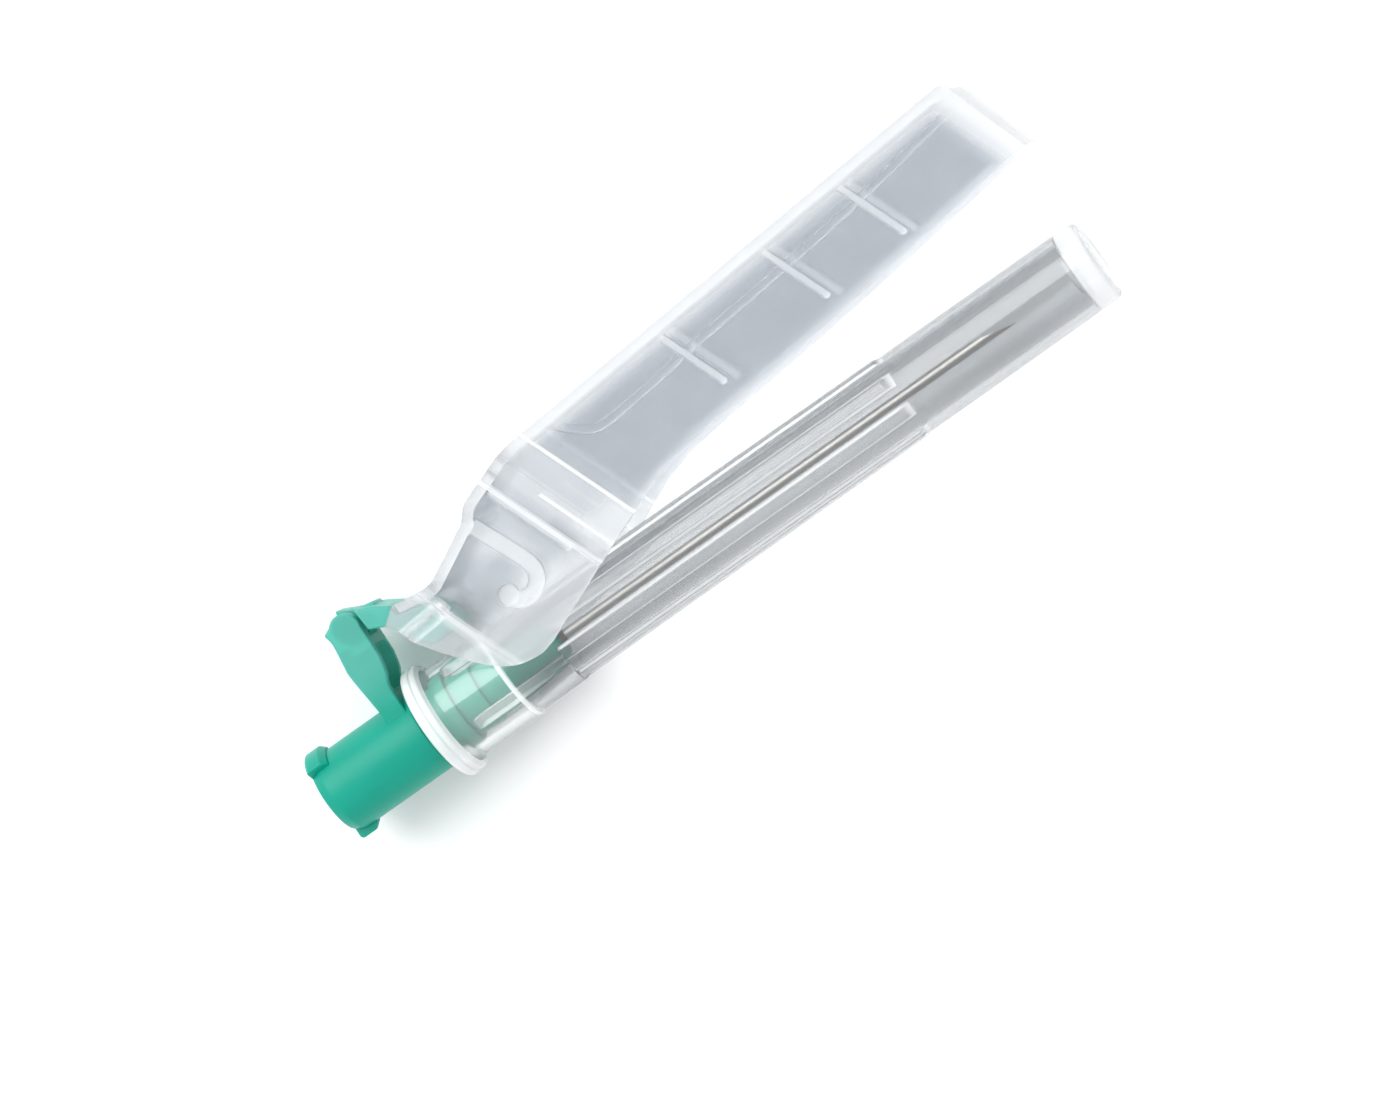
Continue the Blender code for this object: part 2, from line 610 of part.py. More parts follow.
def make_shield(hinge, finish):
    """The shield: one clear moulding with sleeve, ears, trough, ribs, hooks and closed end."""
    shield = jogged_prism("shield", back_line()[:-1] + tip_round() + lower_line(), 0.0, hinge, SPINE_ROUND)
    back = offset_line(back_line(), -SPINE_WALL)
    inner_end = SHIELD_LENGTH - END_WALL
    deep = 2 * EAR_ROUND[-1].y
    roof = SPINE_HEIGHT - SPINE_WALL
    back[-1] = Vector((inner_end + SPINE_WALL * math.tan(END_SLANT), roof))
    back[0] = Vector((SLEEVE_START + LINK_FIT, back[0].y))
    mouth = [back[-1] + Vector(((roof - deep) * math.tan(END_SLANT), deep - roof)), Vector((-SLEEVE_START, deep)),
             Vector((-SLEEVE_START, SPINE_HEIGHT)), Vector((SLEEVE_START + LINK_FIT, SPINE_HEIGHT))]
    hollow = jogged_prism("shield_hollow", back + mouth, SHIELD_WALL, hinge, SPINE_ROUND / 2)
    combine(shield, hollow, "DIFFERENCE")
    trough = TROUGH_WIDTH / 2 - SHIELD_WALL
    ears = ear_half_width() - SHIELD_WALL
    for side in (-1, 1):
        for i, place in enumerate(RIB_PLACES):
            add_to_wall(shield, f"wall_rib_{i}", rib_outline(place, RIB_TOP, RIB_FOOT), trough, RIB_RISE, side, hinge)
        beside_step = EAR_STEP_START + EAR_STEP_RUN / 2 - RIB_THICKNESS / 2
        ear_rib = rib_outline(beside_step, EAR_RIB_TOP, EAR_RIB_FOOT)
        add_to_wall(shield, "ear_rib", ear_rib, ears, EAR_RIB_RISE, side, hinge)
        add_to_wall(shield, "rail", rail_outline(), trough, RAIL_RISE, side, hinge)
        add_to_wall(shield, "hook", hook_outline(), ears, HOOK_RISE, side, hinge)
        bead = arc(HOOK_BEAD, HOOK_BEAD_DIAMETER / 2, 0.0, 2 * math.pi, 14)[:-1]
        add_to_wall(shield, "hook_bead", bead, ears, HOOK_BEAD_RISE, side, hinge)
    shield.data.materials.append(finish)
    return shield


def add_to_wall(shield, name, outline, inner, rise, side, parent):
    """Raises an outline from the inner face of one of the shield's side walls."""
    low, high = sorted((side * (inner - rise), side * (inner + ROOT)))
    label = "near" if side > 0 else "far"
    combine(shield, prism(f"{name}_{label}", outline, low, high, parent), "UNION")


def rib_outline(station, top, foot):
    """A slanted rib with round ends, at a station where its line crosses the shield's x axis."""
    high = Vector((station - top * math.tan(DRAW_SLANT), top))
    low = high + draw_shift(top - foot)
    turn = math.pi - DRAW_SLANT
    radius = RIB_THICKNESS / 2
    return arc(low, radius, turn, turn + math.pi, 6) + arc(high, radius, turn + math.pi, turn + 2 * math.pi, 6)


def rail_outline():
    """The low rail along the wall, which curves up to the spine at its hinge end."""
    end = Vector((SHIELD_LENGTH - END_WALL / 2, RAIL_END))
    low = smooth_line([*RAIL_LINE, end], 4)
    return low + offset_line(low, RAIL_BAND)[::-1]


def hook_outline():
    """A J-shaped hook that comes off the back wall and curls below the ear's middle."""
    line = smooth_line([*HOOK_LINE, HOOK_BEAD], 3)
    return offset_line(line, HOOK_WIDTH / 2) + offset_line(line, -HOOK_WIDTH / 2)[::-1]


def make_link(hinge, finish):
    """The link leaf: a knuckle with two hinge pins, and a tenon that the shield's sleeve holds."""
    knuckle = KNUCKLE_WIDTH / 2
    clear = KNUCKLE_RADIUS + SWING_GAP
    crown = Vector((clear + LINK_FIT, LINK_CROWN))
    heel = Vector((clear + LINK_FIT, -clear * math.cos(math.radians(35.0))))
    core = arc((0, 0), KNUCKLE_RADIUS, math.radians(95.0), math.radians(310.0), 18)
    core += [Vector((2 * clear, -1.2 * clear)), Vector((2 * clear, LINK_CROWN / 2)), crown, Vector((0, LINK_LIP))]
    link = prism("hinge_link", core, -knuckle, knuckle, hinge)
    pin = arc((0, 0), HINGE_PIN_DIAMETER / 2, 0, 2 * math.pi, SMALL_ROUND)[:-1]
    combine(link, prism("hinge_pins", pin, -ARM_WIDTH / 2, ARM_WIDTH / 2, hinge), "UNION")
    shoulder = Vector((SLEEVE_START - LINK_STEP, -SLEEVE_DROP + LINK_STEP / 2))
    roof = offset_line(back_line(), -SPINE_WALL - LINK_FIT)
    fall = (roof[1] - roof[0]).normalized()
    run = Vector((1.0, math.tan(DRAW_SLANT)))
    tenon_start = roof[0] - fall * (roof[0].x - shoulder.x) / fall.x
    tenon_end = roof[0] + fall * (LINK_END - roof[0].dot(run)) / fall.dot(run)
    slope = (EAR_REAR - SLEEVE_MOUTH).normalized()
    rear = SLEEVE_MOUTH + slope * (LINK_DEPTH + SLEEVE_MOUTH.y) / -slope.y
    leaf = [heel, crown, (crown + shoulder) / 2 + Vector((0, LINK_STEP / 2)), shoulder, tenon_start, tenon_end,
            tenon_end + draw_shift(LINK_DEPTH + tenon_end.y), rear, SLEEVE_MOUTH]
    combine(link, prism("leaf", leaf, -LINK_WIDTH / 2, LINK_WIDTH / 2, hinge), "UNION")
    link.data.materials.append(finish)
    return link


def main():
    """Builds the whole part."""
    for old in list(bpy.data.objects):
        bpy.data.objects.remove(old)
    frame = bpy.data.objects.new("needle_axis", None)
    bpy.context.scene.collection.objects.link(frame)
    frame.location = needle_frame_origin()
    hinge = bpy.data.objects.new("hinge_axis", None)
    bpy.context.scene.collection.objects.link(hinge)
    hinge.parent = frame
    hinge.location = (HINGE_X, HINGE_Y, 0)
    hinge.rotation_euler = (0, 0, REST_ANGLE)
    green = material("green_polypropylene", (0.03, 0.50, 0.38), 0.35)
    make_hub(frame, green)
    make_link(hinge, green)
    make_shield(hinge, material("frosted_polypropylene", (0.72, 0.76, 0.79), 0.4, transmission=0.8))
    make_cap(frame, material("clear_polypropylene", (0.80, 0.83, 0.85), 0.15, transmission=0.9))
    make_cannula(frame, material("stainless_steel", (0.55, 0.55, 0.56), 0.25, metallic=1.0))
    make_adhesive(frame, material("cured_adhesive", (0.82, 0.80, 0.70), 0.25, transmission=0.5))


main()
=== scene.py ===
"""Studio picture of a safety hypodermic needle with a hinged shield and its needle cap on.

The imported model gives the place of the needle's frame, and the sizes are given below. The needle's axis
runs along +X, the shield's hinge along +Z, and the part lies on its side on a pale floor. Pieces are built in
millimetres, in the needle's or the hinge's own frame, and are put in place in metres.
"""
import logging
import math
from collections.abc import Callable, Iterable
from dataclasses import dataclass, field
from enum import Enum

import bmesh
import bpy
from bmesh.types import BMEdge, BMFace, BMVert, BMesh
from bpy.types import ID, Material, Mesh, Node, NodeLinks, Nodes, Object
from mathutils import Matrix, Vector

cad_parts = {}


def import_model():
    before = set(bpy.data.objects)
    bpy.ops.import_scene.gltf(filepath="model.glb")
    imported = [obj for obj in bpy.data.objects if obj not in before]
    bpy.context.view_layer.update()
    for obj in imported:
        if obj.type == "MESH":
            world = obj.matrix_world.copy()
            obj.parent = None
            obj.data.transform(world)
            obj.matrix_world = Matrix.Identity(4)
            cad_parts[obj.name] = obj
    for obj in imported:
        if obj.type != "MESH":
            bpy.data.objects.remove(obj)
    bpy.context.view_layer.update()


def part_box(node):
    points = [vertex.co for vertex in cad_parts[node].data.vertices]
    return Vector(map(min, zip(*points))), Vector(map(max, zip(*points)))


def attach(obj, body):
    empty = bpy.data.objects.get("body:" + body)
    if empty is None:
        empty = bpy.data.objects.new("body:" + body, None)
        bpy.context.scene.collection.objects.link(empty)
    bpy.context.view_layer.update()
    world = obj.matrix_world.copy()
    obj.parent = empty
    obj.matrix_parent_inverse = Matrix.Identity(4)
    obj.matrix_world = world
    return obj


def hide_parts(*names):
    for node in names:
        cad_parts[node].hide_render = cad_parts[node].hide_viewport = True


LOG = logging.getLogger("safety_needle")
MM = 0.001
MERGE = 1e-5
TURN = 2.0 * math.pi
# Name of the attribute that says where light is painted on as a paler colour.
PAINTED_LIGHT = "painted_light"
X_AXIS = Vector((1.0, 0.0, 0.0))
Y_AXIS = Vector((0.0, 1.0, 0.0))
HINGE = Vector((8.9, 9.9, 0.0))
LEAN = math.radians(4.3)


class Skin(Enum):
    """Which of a piece's finishes a face takes."""

    WALL = 0
    # EDGE faces take a whiter copy of the plastic, painted on as a highlight along rims, rib flanks and
    # creases.
    EDGE = 1
    RIM = 2


def new_material(name: str) -> tuple[Material, Node]:
    """Makes a material and gives it back with its shader."""
    made = bpy.data.materials.new(name)
    made.use_nodes = True
    return made, made.node_tree.nodes["Principled BSDF"]


def set_inputs(node: Node, values: dict[str, float | tuple[float, ...]]) -> None:
    """Sets some of a node's inputs."""
    for name, value in values.items():
        node.inputs[name].default_value = value


def connect(links: NodeLinks, *wires: tuple[Node, str, Node, str]) -> None:
    """Connects nodes, each time an output of the first to an input of the second."""
    for source, output, sink, entry in wires:
        links.new(source.outputs[output], sink.inputs[entry])


def add_noise(nodes: Nodes, size: float, detail: float = 2.0) -> Node:
    """Adds a noise of a given size.

    Args:
        nodes: the material's nodes.
        size: size of its features, in metres.
        detail: how many finer layers it has.

    Returns:
        The noise node.
    """
    noise = nodes.new("ShaderNodeTexNoise")
    set_inputs(noise, {"Scale": 1.0 / size, "Detail": detail})
    return noise


def add_mix(nodes: Nodes, first: tuple[float, float, float], second: tuple[float, float, float]) -> Node:
    """Adds a mix of two linear colours.

    Args:
        nodes: the material's nodes.
        first: colour at 0.
        second: colour at 1.

    Returns:
        The mix node.
    """
    mix = nodes.new("ShaderNodeMix")
    mix.data_type = "RGBA"
    set_inputs(mix, {"A": (*first, 1.0), "B": (*second, 1.0)})
    return mix


def add_span(nodes: Nodes, low: float, high: float) -> Node:
    """Adds a range that a value from 0 to 1 is spread over.

    Args:
        nodes: the material's nodes.
        low: result at 0.
        high: result at 1.

    Returns:
        The range's node.
    """
    span = nodes.new("ShaderNodeMapRange")
    set_inputs(span, {"To Min": low, "To Max": high})
    return span


def add_stretch(nodes: Nodes, along: float) -> Node:
    """Adds a mapping that scales coordinates along the needle."""
    stretch = nodes.new("ShaderNodeMapping")
    set_inputs(stretch, {"Scale": (along, 1.0, 1.0)})
    return stretch


@dataclass(frozen=True)
class Moulding:
    """A moulded plastic, clear, frosted or dyed, with light painted on as a paler colour where light gathers
    in it.

    Attributes:
        name: name of the material.
        colour: linear base colour.
        clouded: linear colour of the clouds in it.
        roughness: roughness of the moulded skin.
        passes: share of the light that passes through.
        painted_light_colour: linear colour painted on as light where the painted_light attribute is 1.
        painted_light_passes: share of the light that passes through there, if it differs.
        glow: share of the light that scatters below the skin.
        depth: how far that light travels, in metres.
        streaking: how much shorter the clouds are across the needle than along it, which paints streaks of
            refracted light over an uneven tone.
        bump: height of the skin's unevenness, in metres.
        grain: size of that unevenness, in metres.
        gleam: how strongly the skin reflects.
    """

    name: str
    colour: tuple[float, float, float]
    clouded: tuple[float, float, float]
    roughness: float
    passes: float
    painted_light_colour: tuple[float, float, float] = (0.80, 0.815, 0.825)
    painted_light_passes: float | None = None
    glow: float = 0.0
    depth: float = 0.0008
    streaking: float = 1.0
    bump: float = 0.000005
    grain: float = 0.0007
    gleam: float = 0.5

    def make(self) -> Material:
        """Makes the material and gives it back."""
        made, shader = new_material(self.name)
        nodes, links = made.node_tree.nodes, made.node_tree.links
        set_inputs(shader, {"IOR": 1.49, "Specular IOR Level": self.gleam, "Subsurface Weight": self.glow,
                            "Subsurface Scale": self.depth, "Subsurface Radius": (1.0, 1.0, 1.0)})
        place = nodes.new("ShaderNodeTexCoord")
        stretch = add_stretch(nodes, 1.0 / self.streaking)
        clouds = add_noise(nodes, 4.0 * self.grain, 3.0)
        fine = add_noise(nodes, self.grain)
        painted_light = nodes.new("ShaderNodeAttribute")
        painted_light.attribute_name = PAINTED_LIGHT
        tint = add_mix(nodes, self.colour, self.clouded)
        # Painted light: a paler colour mixed in where the painted_light attribute is high.
        light_paint = add_mix(nodes, self.colour, self.painted_light_colour)
        gloss = add_span(nodes, 0.8 * self.roughness, 1.2 * self.roughness)
        bump = nodes.new("ShaderNodeBump")
        set_inputs(bump, {"Distance": self.bump})
        connect(links, (place, "Object", stretch, "Vector"), (stretch, "Vector", clouds, "Vector"),
                (place, "Object", fine, "Vector"), (clouds, "Fac", tint, "Factor"),
                (tint, "Result", light_paint, "A"), (painted_light, "Fac", light_paint, "Factor"),
                (light_paint, "Result", shader, "Base Color"), (clouds, "Fac", gloss, "Value"),
                (gloss, "Result", shader, "Roughness"), (fine, "Fac", bump, "Height"),
                (bump, "Normal", shader, "Normal"))
        if self.painted_light_passes is None:
            set_inputs(shader, {"Transmission Weight": self.passes})
        else:
            clear = add_span(nodes, self.passes, self.painted_light_passes)
            connect(links, (painted_light, "Fac", clear, "Value"), (clear, "Result", shader, "Transmission Weight"))
        return made


@dataclass(frozen=True)
class DrawnSteel:
    """Bright steel tube with the fine lines that drawing leaves along it.

    Attributes:
        name: name of the material.
        colour: linear base colour.
        shade: linear colour of the darker lines.
        roughness: roughness of the surface.
        line: width of a drawn line, in metres.
        draw: how much longer than wide a line is.
    """

    name: str
    colour: tuple[float, float, float]
    shade: tuple[float, float, float]
    roughness: float
    line: float = 0.00006
    draw: float = 50.0

    def make(self) -> Material:
        """Makes the material and gives it back."""
        made, shader = new_material(self.name)
        nodes, links = made.node_tree.nodes, made.node_tree.links
        set_inputs(shader, {"Roughness": self.roughness, "Metallic": 1.0})
        place = nodes.new("ShaderNodeTexCoord")
        stretch = add_stretch(nodes, 1.0 / self.draw)
        lines = add_noise(nodes, self.line)
        tint = add_mix(nodes, self.colour, self.shade)
        connect(links, (place, "Object", stretch, "Vector"), (stretch, "Vector", lines, "Vector"),
                (lines, "Fac", tint, "Factor"), (tint, "Result", shader, "Base Color"))
        return made


@dataclass(frozen=True)
class Place:
    """Where the needle's and the hinge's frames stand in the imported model.

    Attributes:
        origin: the hub's open end on the needle's axis, in metres.
        hinge: the hinge's axis in the needle's frame, in millimetres.
        lean: the shield's angle at rest.
    """

    origin: Vector
    hinge: Vector
    lean: float

    @classmethod
    def read(cls) -> "Place":
        """Reads the place of the needle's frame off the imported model."""
        hub_low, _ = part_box("hub")
        low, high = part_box("cannula")
        middle = (low + high) / 2
        return cls(Vector((hub_low.x, middle.y, middle.z)), HINGE, LEAN)

    def needle(self) -> Matrix:
        """Gives the matrix from the needle's frame, in millimetres, to the model."""
        return Matrix.Translation(self.origin) @ Matrix.Scale(MM, 4)

    def swing(self) -> Matrix:
        """Gives the matrix from the hinge's frame, in millimetres, to the model."""
        return self.needle() @ Matrix.Translation(self.hinge) @ Matrix.Rotation(self.lean, 4, "Z")


def vectors(pairs: Iterable[tuple[float, float]]) -> list[Vector]:
    """Turns pairs of numbers into points."""
    return [Vector(pair) for pair in pairs]


def fillet(corners: list[tuple[float, float, float]], steps: int = 5) -> list[Vector]:
    """Rounds the corners of a closed outline.

    Args:
        corners: x, y and radius of each corner, in order.
        steps: how many pieces each rounding has.

    Returns:
        The outline's points.
    """
    line = []
    for i, (x, y, radius) in enumerate(corners):
        here = Vector((x, y))
        back = Vector(corners[i - 1][:2]) - here
        on = Vector(corners[(i + 1) % len(corners)][:2]) - here
        half = back.angle(on) / 2
        if radius <= 0.0 or half > 0.49 * math.pi:
            line.append(here)
            continue
        reach = min(radius / math.tan(half), 0.49 * back.length, 0.49 * on.length)
        start = here + back.normalized() * reach
        end = here + on.normalized() * reach
        middle = here + (back.normalized() + on.normalized()).normalized() * reach / math.cos(half)
        first, last = start - middle, end - middle
        sweep = math.atan2(first.x * last.y - first.y * last.x, first.dot(last))
        line += [middle + Matrix.Rotation(sweep * k / steps, 2) @ first for k in range(steps + 1)]
    return line


def arc(centre: tuple[float, float], radius: float, start: float, end: float, steps: int) -> list[Vector]:
    """Gives points on an arc, both ends included.

    Args:
        centre: centre of the arc.
        radius: its radius.
        start: angle of its first point, in degrees.
        end: angle of its last point, in degrees.
        steps: how many pieces it has.

    Returns:
        The points.
    """
    angles = [math.radians(start + (end - start) * i / steps) for i in range(steps + 1)]
    return [Vector((centre[0] + radius * math.cos(a), centre[1] + radius * math.sin(a))) for a in angles]


def disc(centre: tuple[float, float], radius: float, steps: int) -> list[Vector]:
    """Gives points all round a circle."""
    return arc(centre, radius, 0.0, 360.0, steps)[:-1]


def smooth_line(points: list[Vector], steps: int) -> list[Vector]:
    """Draws a smooth line through a few points.

    Args:
        points: the points.
        steps: how many pieces lie between two points.

    Returns:
        The line's points, both ends included.
    """
    ends = [2 * points[0] - points[1], *points, 2 * points[-1] - points[-2]]
    line = []
    for i in range(1, len(ends) - 2):
        before, here, there, after = ends[i - 1:i + 3]
        for j in range(steps):
            t = j / steps
            line.append(0.5 * (2 * here + (there - before) * t
                               + (2 * before - 5 * here + 4 * there - after) * t ** 2
                               + (3 * here - before - 3 * there + after) * t ** 3))
    line.append(ends[-2])
    return line


def beside(points: list[Vector], distance: float) -> list[Vector]:
    """Draws a line beside an open line.

    Args:
        points: the open line.
        distance: how far to its left.

    Returns:
        The line's points.
    """
    line = []
    for i, point in enumerate(points):
        before, after = points[max(i - 1, 0)], points[min(i + 1, len(points) - 1)]
        first = (point - before).normalized() if i else (after - point).normalized()
        second = (after - point).normalized() if i < len(points) - 1 else first
        lefts = Vector((-first.y, first.x)), Vector((-second.y, second.x))
        mean = (lefts[0] + lefts[1]).normalized()
        line.append(point + mean * distance / max(mean.dot(lefts[0]), 0.5))
    return line


def closest(point: Vector, start: Vector, end: Vector) -> Vector:
    """Gives the point of a straight piece that is closest to a point.

    Args:
        point: the point.
        start: where the piece starts.
        end: where it ends.

    Returns:
        The closest point.
    """
    run = end - start
    share = min(max((point - start).dot(run) / run.length_squared, 0.0), 1.0)
    return start + run * share


def ease(value: float, start: float, end: float) -> float:
    """Gives the smooth share from 0 to 1 of the way from a start to an end.

    Args:
        value: the place.
        start: where the share is 0.
        end: where the share is 1.

    Returns:
        The share.
    """
    share = min(max((value - start) / (end - start), 0.0), 1.0)
    return share * share * (3.0 - 2.0 * share)


def eased_steps(value: float, start: float, end: float, steps: int) -> float:
    """Gives the smooth share from 0 to 1 in straight pieces, so that each strip of a wall stays flat.

    Args:
        value: the place.
        start: where the share is 0.
        end: where the share is 1.
        steps: how many straight pieces it has.

    Returns:
        The share.
    """
    share = min(max((value - start) / (end - start), 0.0), 1.0) * steps
    piece = min(int(share), steps - 1)
    low, high = ease(piece, 0, steps), ease(piece + 1, 0, steps)
    return low + (high - low) * (share - piece)


def spun(profile: list[Vector], steps: int, start: float = 0.0, sweep: float = TURN) -> BMesh:
    """Turns a closed profile about the needle's axis.

    Args:
        profile: points of station and radius.
        steps: how many pieces the turn has.
        start: angle where it starts.
        sweep: angle that it covers.

    Returns:
        The new bmesh.
    """
    bm = bmesh.new()
    turn = Matrix.Rotation(start, 3, "X")
    verts = [bm.verts.new(turn @ Vector((p[0], 0.0, p[1]))) for p in profile]
    edges = [bm.edges.new((verts[i - 1], verts[i])) for i in range(len(verts))]
    whole = sweep >= TURN - 1e-6
    bmesh.ops.spin(bm, geom=verts + edges, cent=(0, 0, 0), axis=(1, 0, 0), angle=sweep, steps=steps,
                   use_merge=whole, use_duplicate=False)
    bmesh.ops.remove_doubles(bm, verts=bm.verts, dist=MERGE)
    bmesh.ops.dissolve_degenerate(bm, edges=bm.edges, dist=MERGE)
    bmesh.ops.delete(bm, geom=[edge for edge in bm.edges if not edge.link_faces], context="EDGES")
    if not whole:
        bmesh.ops.holes_fill(bm, edges=bm.edges, sides=0)
    bmesh.ops.recalc_face_normals(bm, faces=bm.faces)
    return bm


def drawn(outline: list[Vector], low: float, high: float, edged: int = 0, skin: Skin = Skin.EDGE) -> BMesh:
    """Draws an outline out along Z.

    Args:
        outline: its points in the XY plane.
        low: where it starts along Z.
        high: where it ends along Z.
        edged: how many of the outline's last points have faces with a finish of their own.
        skin: that finish.

    Returns:
        The new bmesh.
    """
    bm = bmesh.new()
    verts = [bm.verts.new((p[0], p[1], low)) for p in outline]
    edges = [bm.edges.new((verts[i - 1], verts[i])) for i in range(len(verts))]
    white = set(edges[len(edges) - edged:])
    extruded = bmesh.ops.extrude_edge_only(bm, edges=edges)["geom"]
    moved = [item for item in extruded if isinstance(item, BMVert)]
    bmesh.ops.translate(bm, verts=moved, vec=(0, 0, high - low))
    for face in bm.faces:
        if white.intersection(face.edges):
            face.material_index = skin.value
    bmesh.ops.holes_fill(bm, edges=bm.edges, sides=0)
    bmesh.ops.recalc_face_normals(bm, faces=bm.faces)
    return bm


def crease(bm: BMesh, axis: Vector, places: Iterable[float], normal: Vector) -> None:
    """Cuts parallel creases across a bmesh.

    Args:
        bm: the bmesh.
        axis: the axis that the creases' places lie on.
        places: where they cross it.
        normal: normal of their planes.
    """
    for place in places:
        geometry = bm.verts[:] + bm.edges[:] + bm.faces[:]
        bmesh.ops.bisect_plane(bm, geom=geometry, plane_co=axis * place, plane_no=normal, dist=MERGE)


def soften(bm: BMesh, width: float, chosen: Callable[[BMEdge], bool], segments: int = 3) -> BMesh:
    """Rounds the chosen edges of a bmesh.

    Args:
        bm: the bmesh.
        width: width of the rounding.
        chosen: tells whether an edge is rounded.
        segments: how many pieces the rounding has.

    Returns:
        The same bmesh.
    """
    edges = [edge for edge in bm.edges if len(edge.link_faces) == 2 and chosen(edge)]
    bmesh.ops.bevel(bm, geom=edges, offset=width, offset_type="OFFSET", affect="EDGES", segments=segments,
                    profile=0.5, material=-1, clamp_overlap=True)
    return bm


def crisp(angle: float) -> Callable[[BMEdge], bool]:
    """Makes a test for edges that bend by more than an angle, in degrees."""
    return lambda edge: edge.calc_face_angle(0.0) > math.radians(angle)


def put(name: str, data: ID) -> Object:
    """Puts an object with its data into the scene."""
    made = bpy.data.objects.new(name, data)
    bpy.context.scene.collection.objects.link(made)
    return made


def shape(name: str, bm: BMesh) -> Object:
    """Puts a bmesh into the scene as an object.

    Args:
        name: name of the object.
        bm: the bmesh, which is freed.

    Returns:
        The new object.
    """
    mesh = bpy.data.meshes.new(name)
    bm.to_mesh(mesh)
    bm.free()
    for _ in Skin:
        mesh.materials.append(None)
    return put(name, mesh)


def paint_light(mesh: Mesh, painted_light: Callable[[Vector], float]) -> None:
    """Writes how much light is painted on at each point of a mesh.

    Args:
        mesh: the mesh, in millimetres.
        painted_light: gives the painted light from 0 to 1 at a point.
    """
    layer = mesh.attributes.new(PAINTED_LIGHT, "FLOAT", "POINT")
    layer.data.foreach_set("value", [painted_light(vert.co) for vert in mesh.vertices])


def combine(target: Object, others: list[Object], operation: str) -> Object:
    """Joins other shapes to a shape or cuts them out of it, and removes them.

    Args:
        target: the shape that changes.
        others: the shapes that are used up.
        operation: UNION or DIFFERENCE.

    Returns:
        The changed shape.
    """
    for other in others:
        step = target.modifiers.new(other.name, "BOOLEAN")
        step.operation = operation
        step.solver = "EXACT"
        step.object = other
    bpy.context.view_layer.update()
    final = target.evaluated_get(bpy.context.evaluated_depsgraph_get())
    mesh = bpy.data.meshes.new_from_object(final)
    target.modifiers.clear()
    old = target.data
    target.data = mesh
    bpy.data.meshes.remove(old)
    for other in others:
        spent = other.data
        bpy.data.objects.remove(other)
        bpy.data.meshes.remove(spent)
    return target


@dataclass
class Piece:
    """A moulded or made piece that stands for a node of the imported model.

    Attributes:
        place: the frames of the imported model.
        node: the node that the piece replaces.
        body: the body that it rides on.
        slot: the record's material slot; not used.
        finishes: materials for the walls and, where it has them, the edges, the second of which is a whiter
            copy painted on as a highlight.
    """

    place: Place
    node: str
    body: str
    slot: str
    finishes: list[Material]

    def finish(self, made: Object, matrix: Matrix, angle: float = 32.0) -> Object:
        """Puts a shape in place, shades it smooth and lets it stand for its node.

        Args:
            made: the shape, in millimetres.
            matrix: the matrix from the shape's frame to the model.
            angle: edges that bend by more degrees stay crisp.

        Returns:
            The finished piece.
        """
        made.name = f"{self.node}_moulding"
        made.data.transform(matrix)
        for polygon in made.data.polygons:
            polygon.use_smooth = True
        made.data.set_sharp_from_angle(angle=math.radians(angle))
        even = made.modifiers.new("even_normals", "WEIGHTED_NORMAL")
        even.keep_sharp = True
        for skin in Skin:
            made.data.materials[skin.value] = self.finishes[min(skin.value, len(self.finishes) - 1)]
        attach(made, self.body)
        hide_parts(self.node)
        LOG.info("%s: %d faces", made.name, len(made.data.polygons))
        return made


